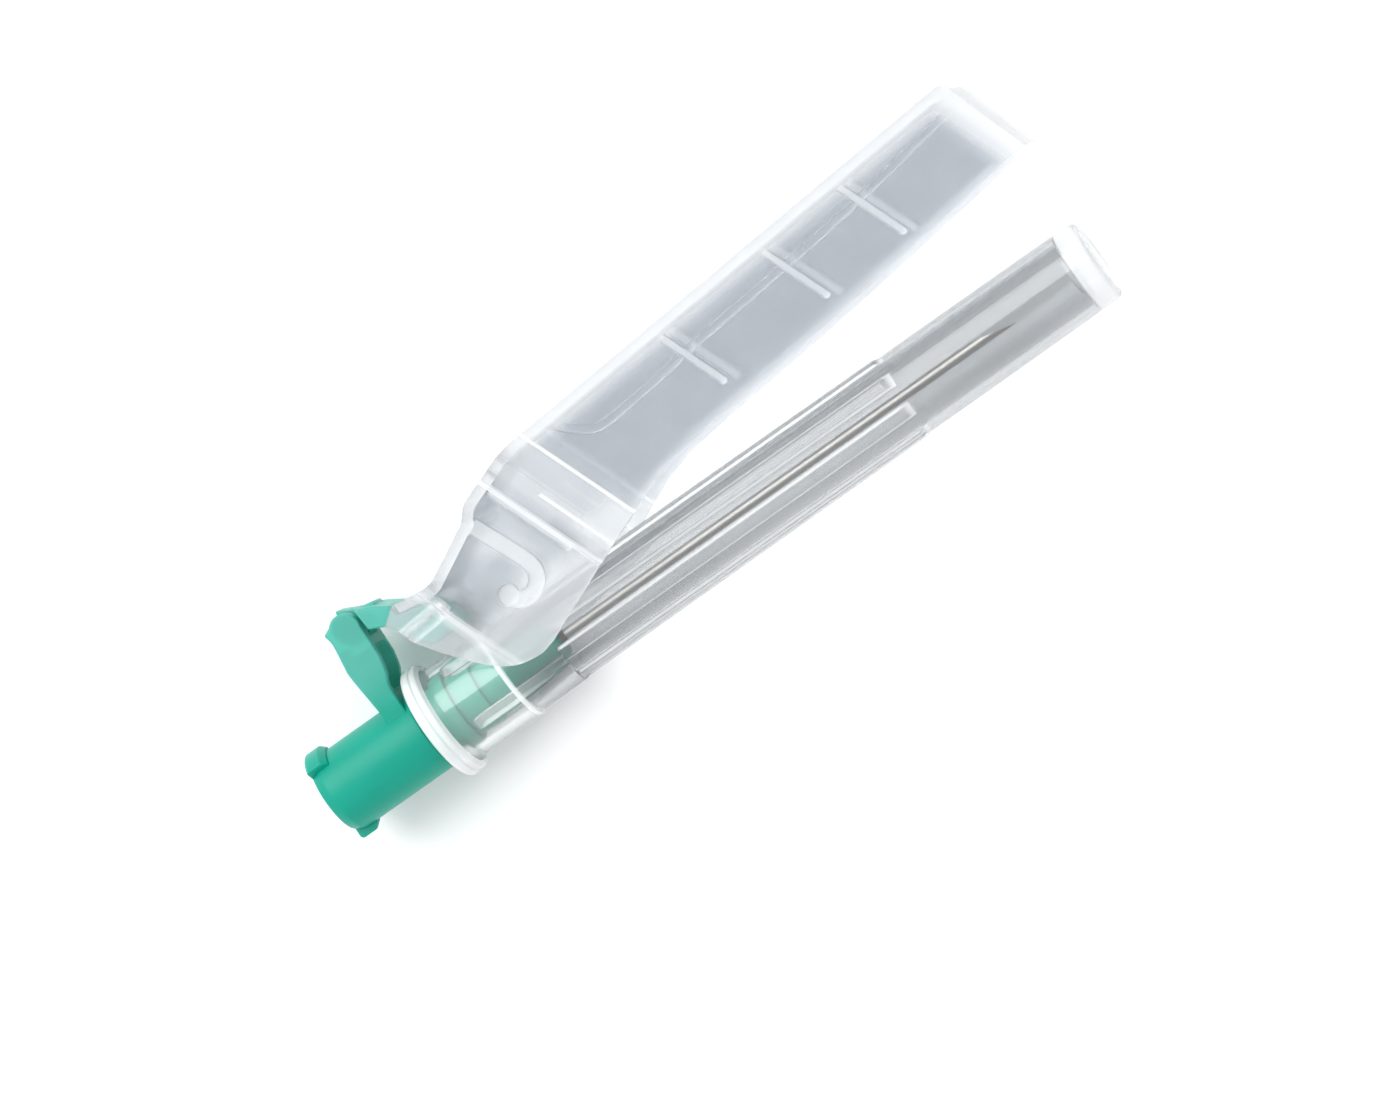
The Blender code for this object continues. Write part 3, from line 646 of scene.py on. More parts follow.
@dataclass
class Hub(Piece):
    """The green hub: Luer socket, lugs, seat for the cap, nose, and the arm with its hinge eyes."""

    barrel: float = 3.325
    barrel_end: float = 9.55
    rim: float = 2.9
    seat: float = 3.05
    seat_end: float = 12.75
    land: float = 2.6
    land_end: float = 14.9
    neck: float = 2.25
    neck_end: float = 17.5
    nose: float = 1.45
    nose_end: float = 22.0
    socket_mouth: float = 2.14
    socket_floor: float = 1.88
    socket_depth: float = 9.0
    cannula_hole: float = 0.44
    glue_well: float = 0.95
    glue_start: float = 19.4
    arm_start: float = 7.1
    arm_thickness: float = 2.9
    arm_half: float = 2.6
    cheek: float = 0.7
    web: float = 0.75
    knuckle: float = 1.25
    swing_gap: float = 0.2
    eye: float = 0.66
    eye_depth: float = 2.42
    lug_tip: float = 3.9
    lug_leans: tuple[float, ...] = (-68.0, 112.0)
    lug_sweep: float = 52.0
    lug_crown_end: float = 1.35
    lug_end: float = 1.85
    slot_half: float = 1.37
    slot_start: float = 241.0
    slot_end: float = 300.0
    sill_fall: float = 17.0
    pocket_low: float = 4.15
    pocket_high: float = 7.77
    lit_from: float = 2.4
    lit_to: float = 6.8

    def build(self) -> Object:
        """Builds the hub and gives the finished piece."""
        made = shape("hub", self.body_shape())
        parts = [shape(f"lug_{i}", self.lug(lean)) for i, lean in enumerate(self.lug_leans)]
        combine(made, [*parts, self.arm()], "UNION")
        combine(made, [shape("socket", self.socket())], "DIFFERENCE")
        bm = bmesh.new()
        bm.from_mesh(made.data)
        levels = [2.2 + 0.4 * k for k in range(13)]
        crease(bm, Y_AXIS, levels, Y_AXIS)
        bm.to_mesh(made.data)
        bm.free()
        paint_light(made.data, self.painted_light)
        return self.finish(made, self.place.needle())

    def painted_light(self, point: Vector) -> float:
        """Gives how much light is painted on the hub at a point, as a paler green where light shines through
        the thin arm.

        Args:
            point: the point, in the needle's frame.

        Returns:
            The painted light from 0 to 1, which grows up the arm.
        """
        return ease(point.y, self.lit_from, self.lit_to)

    def body_shape(self) -> BMesh:
        """Spins the barrel, seat, land, neck and nose."""
        corners = [(0, 0, 0), (0, self.rim, 0.25), (0.75, self.barrel, 0.5),
                   (self.barrel_end, self.barrel, 0.2),
                   (self.barrel_end, self.seat, 0.05), (self.seat_end, self.seat, 0.15),
                   (self.seat_end, self.land, 0.05), (self.land_end, self.land, 0.12),
                   (self.land_end, self.neck, 0.05), (self.neck_end, self.neck, 0.5),
                   (self.nose_end, self.nose, 0.3), (self.nose_end, 0, 0)]
        return spun(fillet(corners), 128)

    def socket(self) -> BMesh:
        """Spins the tapered Luer socket, the cannula's hole and the glue's well."""
        before, beyond = -5.0, 25.0
        corners = [(before, 0, 0), (before, 2.3, 0), (0.0, 2.28, 0.2), (0.35, self.socket_mouth, 0.2),
                   (self.socket_depth, self.socket_floor, 0.3), (self.socket_depth, self.cannula_hole, 0.05),
                   (self.glue_start, self.cannula_hole, 0), (self.glue_start, self.glue_well, 0),
                   (beyond, self.glue_well, 0), (beyond, 0, 0)]
        return spun(fillet(corners), 96)

    def lug(self, lean: float) -> BMesh:
        """Spins one Luer lug.

        Args:
            lean: angle of its middle round the needle, in degrees.

        Returns:
            The new bmesh.
        """
        root, start = 2.6, 0.02
        tip = self.lug_tip
        profile = fillet([(start, root, 0), (start, tip - 0.2, 0.15), (start + 0.2, tip, 0.2),
                          (self.lug_crown_end, tip, 0.2), (self.lug_end, self.barrel + 0.15, 0.1),
                          (self.lug_end, root, 0)], 4)
        sweep = math.radians(self.lug_sweep)
        bm = spun(profile, 20, math.radians(lean) - sweep / 2, sweep)
        return soften(bm, 0.34, lambda edge: crisp(60.0)(edge)
                      and any(len(face.verts) > 6 for face in edge.link_faces), 5)

    def arm(self) -> Object:
        """Draws the arm and cuts its channel, the knuckle's room and the hinge's eyes.

        Returns:
            The arm's shape.
        """
        x, y = self.place.hinge.x, self.place.hinge.y
        front = self.arm_start + self.arm_thickness
        waist = (y + self.barrel) / 2
        eye = arc((x, y), self.knuckle, -20.0, 140.0, 20)
        root = 1.6
        back = vectors([(7.25, 10.4), (7.42, 9.5), (7.18, 7.65), (self.arm_start, waist), (7.4, self.barrel),
                        (7.45, root)])
        face = vectors([(front - 0.75, root), (front - 0.75, 4.3), (front - 0.3, 5.45), (front, waist + 0.1)])
        outline = eye + smooth_line(back, 5) + smooth_line(face, 5)
        arm = shape("arm", soften(drawn(outline, -self.arm_half, self.arm_half), 0.16, crisp(50.0)))
        inside = self.arm_half - self.cheek
        start = self.arm_start + self.web
        beyond = 22.0
        pocket = vectors([(start, self.pocket_low), (beyond, self.pocket_low), (beyond, self.pocket_high),
                          (start, self.pocket_high)])
        pocket_shape = soften(drawn(pocket, -inside, inside), 0.3, crisp(50.0))
        swing = self.knuckle + self.swing_gap
        slot = arc((x, y), swing, self.slot_start, self.slot_end, 16)
        slot += [slot[-1] + Vector((x, -x * math.tan(math.radians(self.sill_fall)))), Vector((2 * x, 2 * y)),
                 Vector((0, 2 * y)), Vector((0, slot[0].y))]
        hole = disc((x, y), self.eye, 40)
        cuts = [shape("pocket", pocket_shape), shape("slot", drawn(slot, -self.slot_half, self.slot_half)),
                shape("eye_hole", drawn(hole, -self.eye_depth, self.eye_depth))]
        return combine(arm, cuts, "DIFFERENCE")


@dataclass
class HingeLink(Piece):
    """The green leaf between the arm's hinge and the shield's sleeve."""

    knuckle: float = 1.25
    half: float = 1.3
    pin: float = 0.6
    pin_half: float = 2.38
    leaf_half: float = 3.0

    def build(self) -> Object:
        """Builds the link and gives the finished piece."""
        core = arc((0, 0), self.knuckle, 95.0, 310.0, 30)
        core += vectors([(2.9, -1.74), (2.9, 0.4), (1.55, 0.75), (0.0, 1.65)])
        made = shape("link", soften(drawn(core, -self.half, self.half), 0.15, crisp(40.0)))
        pin = soften(drawn(disc((0, 0), self.pin, 40), -self.pin_half, self.pin_half), 0.12, crisp(60.0))
        leaf = soften(drawn(self.leaf_outline(), -self.leaf_half, self.leaf_half), 0.2, crisp(35.0))
        combine(made, [shape("pin", pin), shape("leaf", leaf)], "UNION")
        return self.finish(made, self.place.swing())

    def leaf_outline(self) -> list[Vector]:
        """Gives the leaf's side view, with the tenon that the sleeve holds."""
        return vectors([(1.55, -1.19), (1.55, 0.75), (2.8, 0.1), (4.05, -0.83), (4.05, -1.83), (6.36, -2.35),
                        (7.29, -5.25), (4.85, -5.25), (2.85, -1.9)])


@dataclass
class Shield(Piece):
    """The clear shield: sleeve, ears that straddle the cap, ribbed trough and closed end."""

    draw: float = math.radians(17.0)
    slant: float = math.radians(14.0)
    wall: float = 0.65
    spine_wall: float = 0.8
    height: float = 2.75
    spine_start: float = 19.6
    length: float = 61.9
    end_wall: float = 1.3
    tip_depth: float = -4.7
    trough: float = 4.5
    ears: float = 5.75
    sleeve: float = 3.75
    sleeve_floor: float = -2.9
    sleeve_jog: float = 1.4
    bar: float = 5.95
    bar_run: float = 0.45
    ear_step: float = 0.25
    ear_step_start: float = 16.45
    ear_step_run: float = 0.3
    ramp_start: float = 18.45
    trough_start: float = 21.35
    rib_places: tuple[float, ...] = (33.9, 44.0, 51.5)
    rib_top: float = 1.9
    rib_foot: float = -3.85
    rib_rise: float = 0.95
    rib_half: float = 0.35
    ledge_top: float = 0.6
    ledge_foot: float = -6.1
    ledge_rise: float = 0.5
    rail_width: float = 0.7
    rail_rise: float = 0.3
    hook_half: float = 0.65
    hook_rise: float = 0.9
    bead: float = 0.85
    bead_rise: float = 1.05
    line_half: float = 0.13
    painted_light_depth: float = 5.05
    back: list[tuple[float, float]] = field(default_factory=lambda: [
        (4.3, -0.95), (7.95, -1.8), (12.9, 0.3), (13.95, 1.3), (18.1, 2.5)])
    edge: list[tuple[float, float]] = field(default_factory=lambda: [
        (45.0, -5.6), (30.5, -5.95), (26.3, -6.45), (23.7, -7.25), (20.8, -8.2)])
    ear: list[tuple[float, float]] = field(default_factory=lambda: [
        (12.65, -10.9), (11.2, -11.05), (9.1, -10.4), (7.3, -8.75), (5.35, -6.1)])
    mouth: tuple[float, float] = (2.85, -1.9)
    hook: list[tuple[float, float]] = field(default_factory=lambda: [
        (13.3, -0.2), (14.5, -3.6), (15.0, -5.3), (14.75, -6.4), (13.85, -7.05), (12.8, -6.95),
        (12.15, -6.05)])
    rail: list[tuple[float, float]] = field(default_factory=lambda: [
        (22.3, 1.9), (23.6, 0.25), (25.5, -0.95), (29.5, -1.02), (35.3, -0.8), (50.0, -0.42), (61.25, 0.4)])

    def build(self) -> Object:
        """Builds the shield and gives the finished piece."""
        made = shape("shield", self.jogged(*self.outer_outline(), 0.0, 0.7))
        combine(made, [shape("hollow", self.jogged(self.inner_outline(), 0, self.wall, 0.35))], "DIFFERENCE")
        parts = []
        inner, ears = self.trough - self.wall, self.ears - self.wall
        ledge = self.ear_step_start + self.ear_step_run / 2 - self.rib_half
        for side in (-1, 1):
            for place in self.rib_places:
                rib = self.rib(place, self.rib_top, self.rib_foot)
                parts.append(self.raised(rib, inner, self.rib_rise, side))
            ledge_rib = self.rib(ledge, self.ledge_top, self.ledge_foot)
            parts.append(self.raised(ledge_rib, ears, self.ledge_rise, side))
            parts.append(self.raised(self.rail_outline(), inner, self.rail_rise, side, Skin.WALL))
            parts.append(self.raised(self.hook_outline(), ears, self.hook_rise, side))
            parts.append(self.raised(disc(self.hook[-1], self.bead, 36), ears, self.bead_rise, side))
        combine(made, parts, "UNION")
        self.round_rims(made)
        paint_light(made.data, self.painted_light)
        return self.finish(made, self.place.swing())

    def painted_light(self, point: Vector) -> float:
        """Gives how much light is painted on the shield at a point, as white where light gathers along the
        spine, ends, rims, ramps, hook and bar.

        Args:
            point: the point, in the hinge's frame.

        Returns:
            The painted light from 0 to 1.
        """
        x, y = point.x, point.y
        along = self.along(x, y)
        above = ease(y, self.height - 2.0, self.height - 0.9)
        spine = 0.75 * above if along > self.trough_start - 2.0 else 0.0
        to_end = self.length + (self.height - y) * math.tan(self.slant) - x
        tip = 0.75 * ease(-to_end, -3.0, -1.5)
        lower = 0.45 * ease(-self.open_edge(x, y), -0.95, -0.2)
        ramp = ease(along, self.ear_step_start - 0.5, self.ramp_start)
        ramp *= ease(-along, -self.trough_start - 0.4, -self.trough_start + 0.4)
        shoulder = ramp * (0.45 + 0.3 * ease(-y, 4.2, 6.3))
        curl_middle, curl_radius = Vector((12.9, -4.3)), 2.1
        curl = math.hypot(x - curl_middle.x, y - curl_middle.y)
        hook = 0.45 * ease(-abs(curl - curl_radius), -1.5, -0.3) * ease(x, 11.0, 13.5)
        sleeve = 0.5 * ease(-along, -8.0, -5.0)
        ear = 0.6 * ease(-y, 5.2, 7.4) * ease(-along, -self.ramp_start, -self.ear_step_start)
        rear = 0.6 * ease(y - 1.25 * (x - 12.0), -0.4, 1.6) if x > 11.0 else 0.0
        on_hook = self.off_hook(x, y) < self.hook_half + 0.07
        raised = 1.0 if on_hook and abs(point.z) < self.painted_light_depth else 0.0
        bar = 0.9 * ease(-abs(along - self.bar - 0.3), -0.55, -0.3)
        return max(spine, tip, lower, shoulder, hook, sleeve, ear, rear, raised, bar)

    def off_hook(self, x: float, y: float) -> float:
        """Gives how far a point of the side view is from the hook's middle line and its bead."""
        point = Vector((x, y))
        line = smooth_line(vectors(self.hook), 6)
        bead = (point - line[-1]).length - (self.bead - self.hook_half)
        return min(bead, *((point - closest(point, a, b)).length for a, b in zip(line, line[1:])))

    def open_edge(self, x: float, y: float) -> float:
        """Gives how far a point of the side view is above the trough's open edge.

        Args:
            x: place along the spine.
            y: height towards the spine.

        Returns:
            The distance, or a large one off the trough.
        """
        points = [(self.length + 2.0, self.tip_depth), *self.edge]
        for (x1, y1), (x0, y0) in zip(points, points[1:]):
            if x0 <= x <= x1:
                return y - (y0 + (y1 - y0) * (x - x0) / (x1 - x0))
        return 9.0

    def along(self, x: float, y: float) -> float:
        """Gives where the slanted line through a point of the side view crosses the x axis."""
        return x + y * math.tan(self.draw)

    def slanted(self) -> Vector:
        """Gives the normal of the slanted planes that the walls' jogs lie in."""
        return Vector((math.cos(self.draw), math.sin(self.draw), 0.0))

    def back_line(self) -> list[Vector]:
        """Gives the back's outer line, from the sleeve's mouth to the spine's end."""
        return vectors([*self.back, (self.spine_start, self.height), (self.length, self.height)])

    def outer_outline(self) -> tuple[list[Vector], int]:
        """Gives the side view's outline, and how many of its last points the open edge has."""
        back = self.back_line()
        corners = [(p.x, p.y, r) for p, r in zip(back, (0.3, 2.5, 1.2, 1.2, 3.0, 3.0, 1.0))]
        drop = self.height - self.tip_depth
        tip = Vector((self.length + drop * math.tan(self.slant), self.tip_depth))
        edge = smooth_line([tip, *vectors(self.edge)], 8)
        ear = smooth_line(vectors(self.ear), 6)
        lower = [tip, *edge[1:], *ear, Vector(self.mouth)]
        rounded = fillet(corners + [(p.x, p.y, 0.0) for p in lower], 6)
        return rounded, len(lower)

    def inner_outline(self) -> list[Vector]:
        """Gives the outline of the hollow below the spine and the end wall."""
        line = beside(self.back_line(), -self.spine_wall)
        roof = self.height - self.spine_wall
        before, deep = -4.0, -22.0
        end = self.length - self.end_wall + self.spine_wall * math.tan(self.slant)
        corners = [(self.back[0][0] + 0.1, line[0].y, 0.0)]
        corners += [(p.x, p.y, r) for p, r in zip(line[1:-1], (2.0, 1.2, 0.6, 2.0, 2.0))]
        corners += [(end, roof, 0.5), (end + (roof - deep) * math.tan(self.slant), deep, 0.0),
                    (before, deep, 0.0), (before, self.height, 0.0),
                    (self.back[0][0] + 0.1, self.height, 0.0)]
        return fillet(corners, 5)

    def half_width(self, x: float, y: float, less: float) -> float:
        """Gives half the width at a point of the side view.

        Args:
            x: place along the spine.
            y: height towards the spine.
            less: the wall's thickness for the inside, or 0.

        Returns:
            Half the width.
        """
        along = self.along(x, y)
        behind = self.ears - (0.0 if less else self.ear_step)
        width = self.sleeve + (behind - self.sleeve) * eased_steps(
            -y, -self.sleeve_floor, self.sleeve_jog - self.sleeve_floor, 8)
        width += (self.ears - width) * eased_steps(along, self.bar + less, self.bar + less + self.bar_run, 5)
        start = self.ear_step_start - less / 3
        width -= self.ear_step * eased_steps(along, start, start + self.ear_step_run, 5)
        throat = self.ears - self.ear_step - self.trough
        return width - throat * eased_steps(along, self.ramp_start, self.trough_start, 12) - less

    def jogged(self, outline: list[Vector], edged: int, less: float, rounded: float) -> BMesh:
        """Draws the side view out to walls that follow the shield's jogs.

        Args:
            outline: the side view's points.
            edged: how many of its last points have the edge's finish.
            less: the wall's thickness for the inside, or 0.
            rounded: radius along the spine.

        Returns:
            The new bmesh.
        """
        bm = drawn(outline, -1.0, 1.0, edged, Skin.RIM)
        slanted = self.slanted()
        narrow = self.ear_step_start - less / 3
        spans = [(self.bar + less, self.bar_run, 5), (narrow, self.ear_step_run, 5),
                 (self.ramp_start, self.trough_start - self.ramp_start, 12)]
        for start, run, steps in spans:
            crease(bm, X_AXIS, (start + run * k / steps for k in range(steps + 1)), slanted)
        crease(bm, Y_AXIS, (self.sleeve_floor - self.sleeve_jog * k / 8 for k in range(9)), Y_AXIS)
        for vert in bm.verts:
            vert.co.z = math.copysign(self.half_width(vert.co.x, vert.co.y, less), vert.co.z)
        top = max(vert.co.y for vert in bm.verts) - 0.001
        soften(bm, rounded, lambda edge: min(v.co.y for v in edge.verts) > top
               and abs(edge.verts[0].co.z - edge.verts[1].co.z) < 1.0 and crisp(60.0)(edge), 6)
        return bm

    def round_rims(self, made: Object) -> None:
        """Rounds the edges of the open rims, cuts the walls finely and paints their white highlight lines.

        Args:
            made: the shield's hollowed shape.
        """
        bm = bmesh.new()
        bm.from_mesh(made.data)
        bmesh.ops.remove_doubles(bm, verts=bm.verts, dist=MERGE)
        soften(bm, 0.14, lambda edge: crisp(50.0)(edge)
               and any(face.material_index == Skin.RIM.value for face in edge.link_faces))
        slanted = self.slanted()
        lines = [(self.trough_start, -9.0, 3.0), (self.ramp_start, -9.0, -1.6)]
        half = self.line_half
        crease(bm, X_AXIS, (station + off for station, _, _ in lines for off in (-half, half)), slanted)
        stations = [3.0 + 0.77 * k for k in range(1, 80)]
        crease(bm, X_AXIS, stations, slanted)
        levels = [2.4 - 0.46 * k for k in range(30)]
        crease(bm, Y_AXIS, levels, Y_AXIS)
        lines.append((self.ear_step_start + self.ear_step_run / 2, -8.8, 3.0))
        for face in bm.faces:
            middle = face.calc_center_median()
            along = self.along(middle.x, middle.y)
            if abs(face.normal.z) > 0.5 and any(abs(along - station) < half + 0.01 and low < middle.y < high
                                                for station, low, high in lines):
                face.material_index = Skin.EDGE.value
        bm.to_mesh(made.data)
        bm.free()

    def raised(self, outline: list[Vector], inner: float, rise: float, side: int,
               skin: Skin = Skin.EDGE) -> Object:
        """Raises an outline from the inner face of a side wall.

        Args:
            outline: its side view.
            inner: distance of the wall's inner face from the middle.
            rise: how far it stands off the wall.
            side: 1 for the near wall, -1 for the far one.
            skin: finish of its flanks, by default the whiter one painted on as a highlight.

        Returns:
            The raised shape.
        """
        low, high = sorted((side * (inner - rise), side * (inner + 0.25)))
        bm = drawn(outline, low, high, len(outline), skin)
        free = side * (inner - rise)
        soften(bm, 0.12, lambda edge: all(abs(v.co.z - free) < 0.001 for v in edge.verts))
        return shape("raised", bm)

    def rib(self, station: float, top: float, foot: float) -> list[Vector]:
        """Gives a slanted rib with round ends.

        Args:
            station: where its line crosses the shield's x axis.
            top: height of its upper end.
            foot: height of its lower end.

        Returns:
            The outline's points.
        """
        lean = math.tan(self.draw)
        turn = 180.0 - math.degrees(self.draw)
        low = arc((station - foot * lean, foot), self.rib_half, turn, turn + 180.0, 12)
        return low + arc((station - top * lean, top), self.rib_half, turn + 180.0, turn + 360.0, 12)

    def rail_outline(self) -> list[Vector]:
        """Gives the low rail along the wall, which curves up to the spine."""
        low = smooth_line(vectors(self.rail), 8)
        return low + beside(low, self.rail_width)[::-1]

    def hook_outline(self) -> list[Vector]:
        """Gives the J-shaped hook."""
        line = smooth_line(vectors(self.hook), 6)
        return beside(line, self.hook_half) + beside(line, -self.hook_half)[::-1]


@dataclass
class NeedleCap(Piece):
    """The clear needle cap: flange, base with inner rails, ribbed grip and closed end."""

    start: float = 9.85
    flange: float = 4.8
    base: float = 3.95
    base_end: float = 17.5
    bore: float = 3.12
    ribs_start: float = 21.8
    ribs_end: float = 54.4
    shoulder: float = 3.72
    crown_end: float = 3.6
    floor: float = 3.48
    tip: float = 3.36
    end: float = 72.1
    inner_end: float = 70.25
    inner: float = 2.61
    boss: float = 1.6
    ribs: int = 8
    rib_sweep: float = 18.0
    rib_lean: float = 20.0
    rails: int = 4
    rail_lean: float = 33.0
    rail_sweep: float = 18.0
    rail_rise: float = 0.45
    rail_start: float = 12.9
    ring: float = 0.35
    boss_length: float = 0.65
    steps: int = 240

    def build(self) -> Object:
        """Builds the cap and gives the finished piece."""
        bm = spun(self.profile(), self.steps)
        for vert in bm.verts:
            self.raise_point(vert)
        for face in bm.faces:
            if self.takes_highlight(face):
                face.material_index = Skin.EDGE.value
            elif face.calc_center_median().x < self.base_end:
                face.material_index = Skin.RIM.value
        bmesh.ops.recalc_face_normals(bm, faces=bm.faces)
        made = shape("cap", bm)
        paint_light(made.data, self.painted_light)
        return self.finish(made, self.place.needle(), 50.0)

    def painted_light(self, point: Vector) -> float:
        """Gives how much light is painted on the cap at a point, as white where light gathers at the closed
        end, the rails and the ribs' sides.

        Args:
            point: the point, in the needle's frame.

        Returns:
            The painted light from 0 to 1.
        """
        x, radius = point.x, math.hypot(point.y, point.z)
        angle = math.degrees(math.atan2(-point.y, point.z))
        if x > self.inner_end - 0.01 or (x > self.inner_end - 0.7 and radius < self.boss + 0.1):
            return 0.9
        if x < self.ribs_start + 0.2:
            on_rail = self.rail_start < x < self.base_end + 0.5 and self.inner < radius < self.bore - 0.04
            return 0.95 if on_rail else 0.1
        if x < self.ribs_end + 0.2 and radius > self.inner + 0.4:
            off = self.off_middle(angle, self.ribs, self.rib_lean)
            side = ease(-abs(off - self.rib_sweep / 2), -2.6, -0.8)
            half = self.rib_sweep / 2
            end = ease(x, self.ribs_end - 0.5, self.ribs_end - 0.2) if off < half + 1.5 else 0.0
            return max(0.9 * side, 0.9 * end, 0.15 if off < half else 0.0)
        return 0.0

    @staticmethod
    def off_middle(angle: float, count: int, lean: float) -> float:
        """Gives the angle to the middle of the nearest of several like ribs.

        Args:
            angle: the place round the needle, in degrees.
            count: how many ribs there are.
            lean: angle of the first one's middle.

        Returns:
            The angle, in degrees.
        """
        pitch = 360.0 / count
        return abs((angle - lean + pitch / 2) % pitch - pitch / 2)

    def groove_radius(self, station: float) -> float:
        """Gives the radius of the groove floors and the smooth far part at a station."""
        share = (station - self.ribs_start) / (self.end - self.ribs_start)
        return self.floor + (self.tip - self.floor) * share

    def profile(self) -> list[Vector]:
        """Gives the closed profile, outside first and then inside."""
        s, r = self.start, self.flange
        corners = [(s, r - 0.4, 0.1), (s + 0.16, r - 0.12, 0.2), (s + 0.4, r, 0.15), (s + 0.8, r, 0.12),
                   (s + 0.92, r - 0.16, 0.06), (s + 1.08, r - 0.16, 0.06), (s + 1.2, r - 0.04, 0.08),
                   (s + 1.4, r - 0.14, 0.1), (s + 1.6, r - 0.5, 0.1), (s + 2.0, self.base, 0.25),
                   (self.base_end - self.ring, self.base, 0.0), (self.base_end, self.base, 0.12),
                   (self.base_end, self.base - 0.16, 0.04), (self.ribs_start, self.shoulder, 0.1),
                   (self.ribs_start, self.groove_radius(self.ribs_start), 0.05)]
        grip = (22.1, *range(26, 51, 4), 53.2, *(53.5 + 0.2 * k for k in range(7)), 60, 66, 70.1, 70.3)
        corners += [(station, self.groove_radius(station), 0.0) for station in grip]
        boss_start = self.inner_end - self.boss_length
        corners += [(self.end, self.tip, 0.55), (self.end, 0.0, 0.0), (boss_start, 0.0, 0.0),
                    (boss_start, self.boss - 0.07, 0.2), (self.inner_end, self.boss, 0.15),
                    (self.inner_end, self.inner, 0.35), (54.0, 2.66, 0.0), (38.0, 2.70, 0.0),
                    (self.ribs_start, self.floor - 0.75, 0.5), (self.base_end, self.bore, 0.3)]
        rails = (16.6, 15.6, 14.6, 14.2, 13.9, 13.7, 13.5, 13.3, 13.1, self.rail_start)
        corners += [(station, self.bore, 0.0) for station in rails]
        corners.append((s, self.bore + 0.07, 0.15))
        return fillet(corners, 4)

    def raise_point(self, vert: BMVert) -> None:
        """Moves a point of the spun wall out to a grip rib or in to a rail.

        Args:
            vert: the point.
        """
        x, radius = vert.co.x, math.hypot(vert.co.y, vert.co.z)
        angle = math.degrees(math.atan2(-vert.co.y, vert.co.z))
        rise = 0.0
        if self.ribs_start + 0.01 < x < self.ribs_end + 0.3 and abs(radius - self.groove_radius(x)) < 0.01:
            off = self.off_middle(angle, self.ribs, self.rib_lean)
            share = (x - self.ribs_start) / (self.ribs_end - self.ribs_start)
            crown = self.shoulder + (self.crown_end - self.shoulder) * share
            rise = (crown - radius) * ease(-off, -self.rib_sweep / 2 - 2.2, -self.rib_sweep / 2 + 2.2)
            rise *= ease(-x, -self.ribs_end, 0.7 - self.ribs_end)
        elif self.rail_start < x < self.base_end + 0.5 and radius < self.bore + 0.01:
            off = self.off_middle(angle, self.rails, self.rail_lean)
            rise = -self.rail_rise * ease(-off, -self.rail_sweep / 2 - 2.0, -self.rail_sweep / 2 + 3.0)
            rise *= ease(x, 13.1, 13.9) * ease(-x, -self.base_end - 0.5, -self.base_end)
        if rise:
            vert.co.y *= 1.0 + rise / radius
            vert.co.z *= 1.0 + rise / radius

    def takes_highlight(self, face: BMFace) -> bool:
        """Tells whether a face lies on the flange's rim or on the ring at the base's end.

        Args:
            face: the face.

        Returns:
            Whether it takes the whiter finish painted on as a highlight.
        """
        middle = face.calc_center_median()
        radius = math.hypot(middle.y, middle.z)
        near = self.start - 0.1 < middle.x < self.start + 1.7 and radius > self.base + 0.1
        ring = self.base_end - self.ring < middle.x < self.base_end + 0.1 and radius > self.base - 0.2
        return near or ring


@dataclass
class Cannula(Piece):
    """The steel tube with its ground bevel."""

    start: float = 10.5
    tip: float = 64.4
    outer: float = 0.41
    bore: float = 0.255
    bevel: float = math.radians(12.0)

    def build(self) -> Object:
        """Builds the cannula and gives the finished piece."""
        wall = vectors([(self.start, self.bore), (self.start, self.outer), (self.tip, self.outer),
                        (self.tip, self.bore)])
        made = shape("cannula", spun(wall, 64))
        slope = math.tan(self.bevel)
        over = self.outer
        grind = vectors([(self.tip + over, -over - over * slope), (self.tip + over, 3 * over),
                         (self.tip - 4 * over / slope, 3 * over)])
        combine(made, [shape("grind", drawn(grind, -1.0, 1.0))], "DIFFERENCE")
        return self.finish(made, self.place.needle())


@dataclass
class Adhesive(Piece):
    """The cured bead round the cannula in the hub's nose."""

    start: float = 19.42
    nose: float = 22.0
    inner: float = 0.43
    outer: float = 0.93
    crown: float = 0.35

    def build(self) -> Object:
        """Builds the bead and gives the finished piece."""
        wall = self.outer - self.inner
        top = [(self.nose + self.crown * math.sin(t), self.inner + wall * math.cos(t))
               for t in (math.radians(10.0 * k) for k in range(10))]
        profile = vectors([(self.start, self.inner), (self.start, self.outer), *top])
        return self.finish(shape("adhesive", spun(profile, 64)), self.place.needle())


